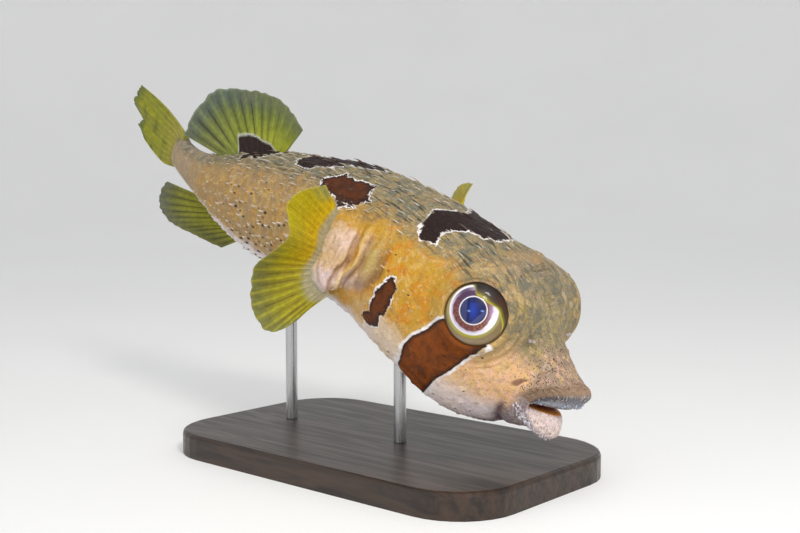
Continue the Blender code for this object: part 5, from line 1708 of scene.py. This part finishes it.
# Colours of each fin: u across from its front or top, s along the rays, phase from ray to membrane
def paint_dorsal(u, s, phase, place):
    edge = np.interp(u, PATCH_ALONG, PATCH_HIGH) + 0.010 * np.sin(31.0 * u)
    return painted(mix(*DORSAL_TONES, smooth(0.30, 0.75, s)),
                   (DORSAL_YELLOW, 0.7 * bell((s - 0.30) / 0.22) * smooth(0.75, 0.2, u)),
                   (DORSAL_TEAL, smooth(0.62, 0.92, s) * (0.30 + 0.70 * smooth(0.15, 0.6, u))),
                   (DORSAL_GREY, 0.5 * smooth(0.5, 1.0, u)),
                   (DORSAL_EDGE, 0.6 * smooth(0.965, 1.0, s)),
                   (DORSAL_STREAK, streaks(phase, s, u, 0.20, 1.02, 0.95) * smooth(0.10, 0.28, u)),
                   (DORSAL_RAYS, 0.30 * bell(phase / 0.10) * smooth(0.15, 0.4, s)),
                   (DORSAL_MARGIN, 0.55 * smooth(0.74, 0.94, s) * smooth(0.75, 0.45, u)),
                   (PATCH_EDGE, 0.8 * smooth(edge + 0.045, edge + 0.02, s) * smooth(edge - 0.02, edge, s)),
                   (BLOTCH_DARK, smooth(edge + 0.015, edge - 0.005, s)))


# The anal fin's own olive and grey, darkened with painted shade as it lies in shade below the tail
def paint_anal(u, s, phase, place):
    return painted(mix(*ANAL_TONES_AND_SHADE, smooth(0.35, 0.85, s)),
                   (ANAL_GREY, smooth(0.70, 1.0, s) * smooth(0.2, 0.7, u)),
                   (ANAL_STREAK, streaks(phase, s, u, 0.15, 0.97, 0.9)),
                   (ANAL_RAYS, 0.28 * bell(phase / 0.10)))


def paint_tail(u, s, phase, place):
    cloudy = smooth(0.1, 0.7, ripple(place, 17 * MM, 4.0)) * smooth(0.3, 0.5, s)
    return painted(mix(*CAUDAL_TONES, smooth(0.15, 0.5, s)), (CAUDAL_DARK, 0.75 * cloudy),
                   (CAUDAL_RAYS, 0.30 * bell(phase / 0.13)), (CAUDAL_MARGIN, 0.7 * smooth(0.84, 1.0, s)))


def paint_pectoral(u, s, phase, place):
    low = smooth(0.46, 0.72, u + 0.10 * smooth(0.5, 1.0, s))
    branch = bell((phase - 0.14) / 0.05) * smooth(0.3, 0.45, s)
    root = mix(*PECTORAL_FUZZ, 0.5 + 0.5 * ripple(place, 1.6 * MM, 4.0))
    reach = 0.17 + 0.06 * smooth(0.45, 0.75, u) + 0.02 * np.sin(phase * 12.0)
    return painted(mix(*PECTORAL_TONES, smooth(0.35, 0.8, s)),
                   (PECTORAL_LOW, 0.85 * low),
                   (PECTORAL_LOW_EDGE, 0.85 * low * smooth(0.60, 0.95, s)),
                   (PECTORAL_TOP, 0.6 * smooth(0.12, 0.0, u) * smooth(0.4, 0.7, s)),
                   (PECTORAL_EDGE, 0.4 * smooth(0.965, 1.0, s)),
                   (PECTORAL_STREAK, streaks(phase, s, u, 0.25, 1.02, 0.85) * (0.42 + 0.58 * low)),
                   (PECTORAL_ORANGE, 0.55 * branch * (1.0 - low)),
                   (PECTORAL_RAYS, 0.45 * bell(phase / 0.10) * smooth(0.2, 0.4, s)),
                   (root, 0.90 * smooth(reach + 0.10, reach - 0.03, s)))


# Papillae of the lips and the nostrils: rings between which a row lies, step, first and last angle
# around the mouth in degrees, height and half width in mm
PAPILLA_SEED = 5
PAPILLA_SIDES = 8
PAPILLA_PROFILE = ((-0.3, 1.0), (0.0, 1.0), (0.35, 0.90), (0.65, 0.78), (0.86, 0.55), (0.97, 0.25))
PAPILLA_ROWS = ((2.7, 3.1, 2.0, 14.0, 166.0, 0.85, 0.26), (2.9, 3.3, 1.3, 58.0, 122.0, 1.15, 0.28),
                (3.4, 4.3, 3.4, 20.0, 160.0, 0.40, 0.26), (4.4, 5.2, 2.4, 196.0, 344.0, 0.75, 0.36),
                (5.2, 6.2, 1.5, 196.0, 344.0, 1.00, 0.36), (6.2, 7.2, 1.9, 192.0, 348.0, 0.95, 0.34))
PAPILLA_UPPER = (0.26, 0.24, 0.28)
PAPILLA_LOWER = (0.55, 0.45, 0.46)

# The two flaps of a nostril: shift, height and half width in mm, and their colours from root to tip
NOSTRIL_FLAPS = ((-1.0, 2.0, 0.95), (1.1, 2.3, 1.05))
NOSTRIL_TONES = ((0.30, 0.21, 0.14), (0.46, 0.42, 0.44))


class Fingers:
    """Soft fingers with round tips, gathered into one mesh."""

    def __init__(self):
        self.points, self.faces, self.tints = [], [], []

    def add(self, root, normal, tall, wide, tone, tip_tone, lean=0.0):
        """Adds one finger; lean bends its tip aside."""
        across = unit(np.cross(normal, (0.31, 0.52, 0.79)))
        over = np.cross(normal, across)
        turn = np.arange(PAPILLA_SIDES) * 2.0 * math.pi / PAPILLA_SIDES
        ring = across * np.cos(turn)[:, None] + over * np.sin(turn)[:, None]
        self.faces += finger_faces(len(self.points), len(PAPILLA_PROFILE), PAPILLA_SIDES)
        for share, size in PAPILLA_PROFILE:
            middle = root + normal * tall * share + lean * max(share, 0.0) ** 2 * tall
            self.points.extend(middle + ring * wide * size)
            self.tints.extend([mix(tone, tip_tone, np.clip(share, 0.0, 1.0))] * PAPILLA_SIDES)
        self.points.append(root + normal * tall + lean * tall)
        self.tints.append(np.array(tip_tone))


def make_papillae(skin, finish):
    """Small soft fingers on the edges of both lips and beside each nostril."""
    draw = random.Random(PAPILLA_SEED)
    fingers = Fingers()
    normals = grid_normals(skin.grid)
    for low_ring, high_ring, step, first, last, tall, wide in PAPILLA_ROWS:
        phi = first
        while phi < last:
            row = int(round(draw.uniform(low_ring, high_ring) * LIP_STEPS))
            column = int(round(phi / 360.0 * SKIN_COLUMNS)) % SKIN_COLUMNS
            tone = PAPILLA_LOWER if phi > 180.0 else PAPILLA_UPPER
            size = draw.uniform(0.6, 1.4) * MM
            tip_tone = mix(tone, LIP_WHITE, draw.uniform(0.2, 0.9))
            root, normal = skin.grid[row, column], normals[row, column]
            fingers.add(root, normal, tall * size, wide * size, tone, tip_tone)
            phi += step * draw.uniform(0.7, 1.3)
    up = body_axes(np.array(NOSTRIL_AT))[2]
    for side in (1, -1):
        phi = NOSTRIL_PHI if side > 0 else 180.0 - NOSTRIL_PHI
        root = skin.sample(skin.grid, NOSTRIL_AT, phi)
        normal = unit(skin.sample(normals, NOSTRIL_AT, phi))
        across = unit(np.cross(normal, up))
        for shift, tall, wide in NOSTRIL_FLAPS:
            aside = across * shift * side
            fingers.add(root + aside * MM, normal, tall * MM, wide * MM, *NOSTRIL_TONES, lean=0.25 * aside)
    piece = add_piece("papillae", fingers.points, fingers.faces, finish)
    set_layer(piece.data, "tint", fingers.tints)


# Everything in its order
def make_fish():
    """The skin with its spines and papillae, then the eyes and the fins."""
    skin = Skin()
    skin.cover_lobes()
    skin.fold_lobes()
    skin.add_folds()
    skin.open_orbits()
    skin.colours()
    make_spines(skin, tinted_material("spine", 0.32, 900.0, subsurface=0.10, vary=0.06))
    skin.make(skin_material())
    make_papillae(skin, tinted_material("papilla", 0.40, 900.0, 0.05 * MM, subsurface=0.15))
    eye_finish = tinted_material("eye", 0.45, 700.0, coat=0.20, vary=0.04)
    make_eye("eye_ball_right", "eye_right", 1, eye_finish)
    make_eye("eye_ball_left", "eye_left", -1, eye_finish)
    fin_finish = tinted_material("fin", 0.45, 420.0, 0.08 * MM, subsurface=0.10, vary=0.14)
    dorsal_path = median_rays(DORSAL_BASE, DORSAL_ANGLE, DORSAL_RAY, 90.0, 0.0)
    anal_path = median_rays(ANAL_BASE, ANAL_ANGLE, ANAL_RAY, 270.0, ANAL_SWING)
    for name, path, count, paint, root_half, seed in (
            ("dorsal", dorsal_path, 13, paint_dorsal, 1.6 * MM, 1.0),
            ("anal", anal_path, 12, paint_anal, 1.4 * MM, 2.0),
            ("caudal", tail_rays(), 10, paint_tail, 2.6 * MM, 3.0)):
        make_fin(name + "_web", name + "_fin", path, count, paint, fin_finish, root_half, seed)
    lobe_finish = tinted_material("lobe", 0.45, 500.0, 0.25 * MM, subsurface=0.10, vary=0.10)
    for fin, side_name in zip(PECTORALS, ("right", "left")):
        make_fin("pectoral_web_" + side_name, "pectoral_fin_" + side_name, fin.path, 22, paint_pectoral,
                 fin_finish, seed=4.0 + fin.side)
        fin.lobe_piece(lobe_finish)


def finish_stand():
    """Gives the stand's own solids their wood and steel."""
    base = base_material()
    rod = rod_material()
    for name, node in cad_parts.items():
        if name.startswith("stand_"):
            for place in node.material_slots:
                place.material = base if name == "stand_base" else rod


# Studio: camera, floor and sky
CAMERA_TURN = 41.2
CAMERA_RISE = 4.85
CAMERA_FAR = 0.5
CAMERA_ASIDE = -0.0748
CAMERA_UP = 0.0652
CAMERA_LENS = 51.9
FLOOR_FLAT = 1.8
FLOOR_SWEEP = 1.2
FLOOR_TOP = 4.0
FLOOR_SIDES = 64
FLOOR_TONE = (0.80, 0.80, 0.79)
SKY = (0.92, 0.95, 1.0, 1.0)
SKY_STRENGTH = 0.34

# Lamps: name, place right of, above and behind the camera, size, power and colour; the top one by its place
LIGHT_TARGET = (0.0, 0.0, 0.08)
CAMERA_LAMPS = (("key", 0.16, 0.42, -0.02, 0.16, 2.75, (1.0, 0.98, 0.95)),
                ("fill", -0.80, 0.10, 0.0, 0.9, 0.9, (0.95, 0.97, 1.0)))
TOP_LAMP = ("top", (0.15, -0.25, 1.15), 0.9, 1.8, (1.0, 1.0, 1.0))


def make_floor():
    """A wide pale floor whose edge sweeps up all round, glowing faintly as a fill light."""
    pale = Finish("floor")
    cloud = pale.ramp(pale.noise(3.0, 4.0), 0.3, 0.7, 0.97, 1.0)
    # the floor glows faintly, a soft fill light on the fish from below and around
    pale.shade({"Base Color": pale.over(FLOOR_TONE, 1.0, cloud, "MULTIPLY"), "Roughness": 0.75,
                "Emission Color": (1.0, 1.0, 1.0), "Emission Strength": 0.20})
    profile = [(0.001, 0.0), (0.4, 0.0), (1.0, 0.0), (FLOOR_FLAT, 0.0)]
    for a in np.linspace(0.0, 0.5 * math.pi, 13)[1:]:
        profile.append((FLOOR_FLAT + FLOOR_SWEEP * math.sin(a), FLOOR_SWEEP * (1.0 - math.cos(a))))
    profile.append((FLOOR_FLAT + FLOOR_SWEEP, FLOOR_TOP))
    turn = np.arange(FLOOR_SIDES) * 2.0 * math.pi / FLOOR_SIDES
    points = []
    for radius, high in profile:
        level = np.full(FLOOR_SIDES, high)
        points.extend(np.stack([radius * np.cos(turn), radius * np.sin(turn), level], -1))
    mesh = bpy.data.meshes.new("floor")
    mesh.from_pydata(np.array(points).tolist(), [], strip_faces(len(profile), FLOOR_SIDES).tolist())
    mesh.shade_smooth()
    mesh.materials.append(pale.made)
    floor = bpy.data.objects.new("floor", mesh)
    bpy.context.scene.collection.objects.link(floor)


def add_light(name, place, size, power, colour):
    """A round lamp that points at the fish."""
    lamp = bpy.data.lights.new(name, "AREA")
    lamp.shape = "DISK"
    lamp.size = size
    lamp.energy = power
    lamp.color = colour
    holder = bpy.data.objects.new(name, lamp)
    bpy.context.scene.collection.objects.link(holder)
    holder.location = place
    holder.rotation_euler = (Vector(LIGHT_TARGET) - Vector(place)).to_track_quat("-Z", "Y").to_euler()


def make_studio():
    """Floor, camera at the photo's viewing angle, three soft lamps and a pale sky."""
    make_floor()
    a = math.radians(CAMERA_TURN)
    e = math.radians(CAMERA_RISE)
    back = np.array((math.sin(a) * math.cos(e), -math.cos(a) * math.cos(e), math.sin(e)))
    right = np.array((math.cos(a), math.sin(a), 0.0))
    up = np.cross(back, right)
    place = SNOUT + back * CAMERA_FAR + right * CAMERA_ASIDE + up * CAMERA_UP
    data = bpy.data.cameras.new("camera")
    data.lens = CAMERA_LENS
    data.sensor_width = 36.0
    data.clip_start = 0.01
    data.clip_end = 50.0
    camera = bpy.data.objects.new("camera", data)
    bpy.context.scene.collection.objects.link(camera)
    axes = np.column_stack([right, up, back, place])
    camera.matrix_world = Matrix([*axes.tolist(), (0.0, 0.0, 0.0, 1.0)])
    bpy.context.scene.camera = camera
    for name, aside, high, behind, size, power, colour in CAMERA_LAMPS:
        add_light(name, place + right * aside + up * high + back * behind, size, power, colour)
    add_light(*TOP_LAMP)
    world = bpy.data.worlds.new("studio")
    world.use_nodes = True
    background = world.node_tree.nodes["Background"].inputs
    background["Color"].default_value = SKY
    background["Strength"].default_value = SKY_STRENGTH
    bpy.context.scene.world = world
    bpy.context.scene.view_settings.view_transform = "Standard"


make_fish()
finish_stand()
make_studio()
bpy.context.view_layer.update()
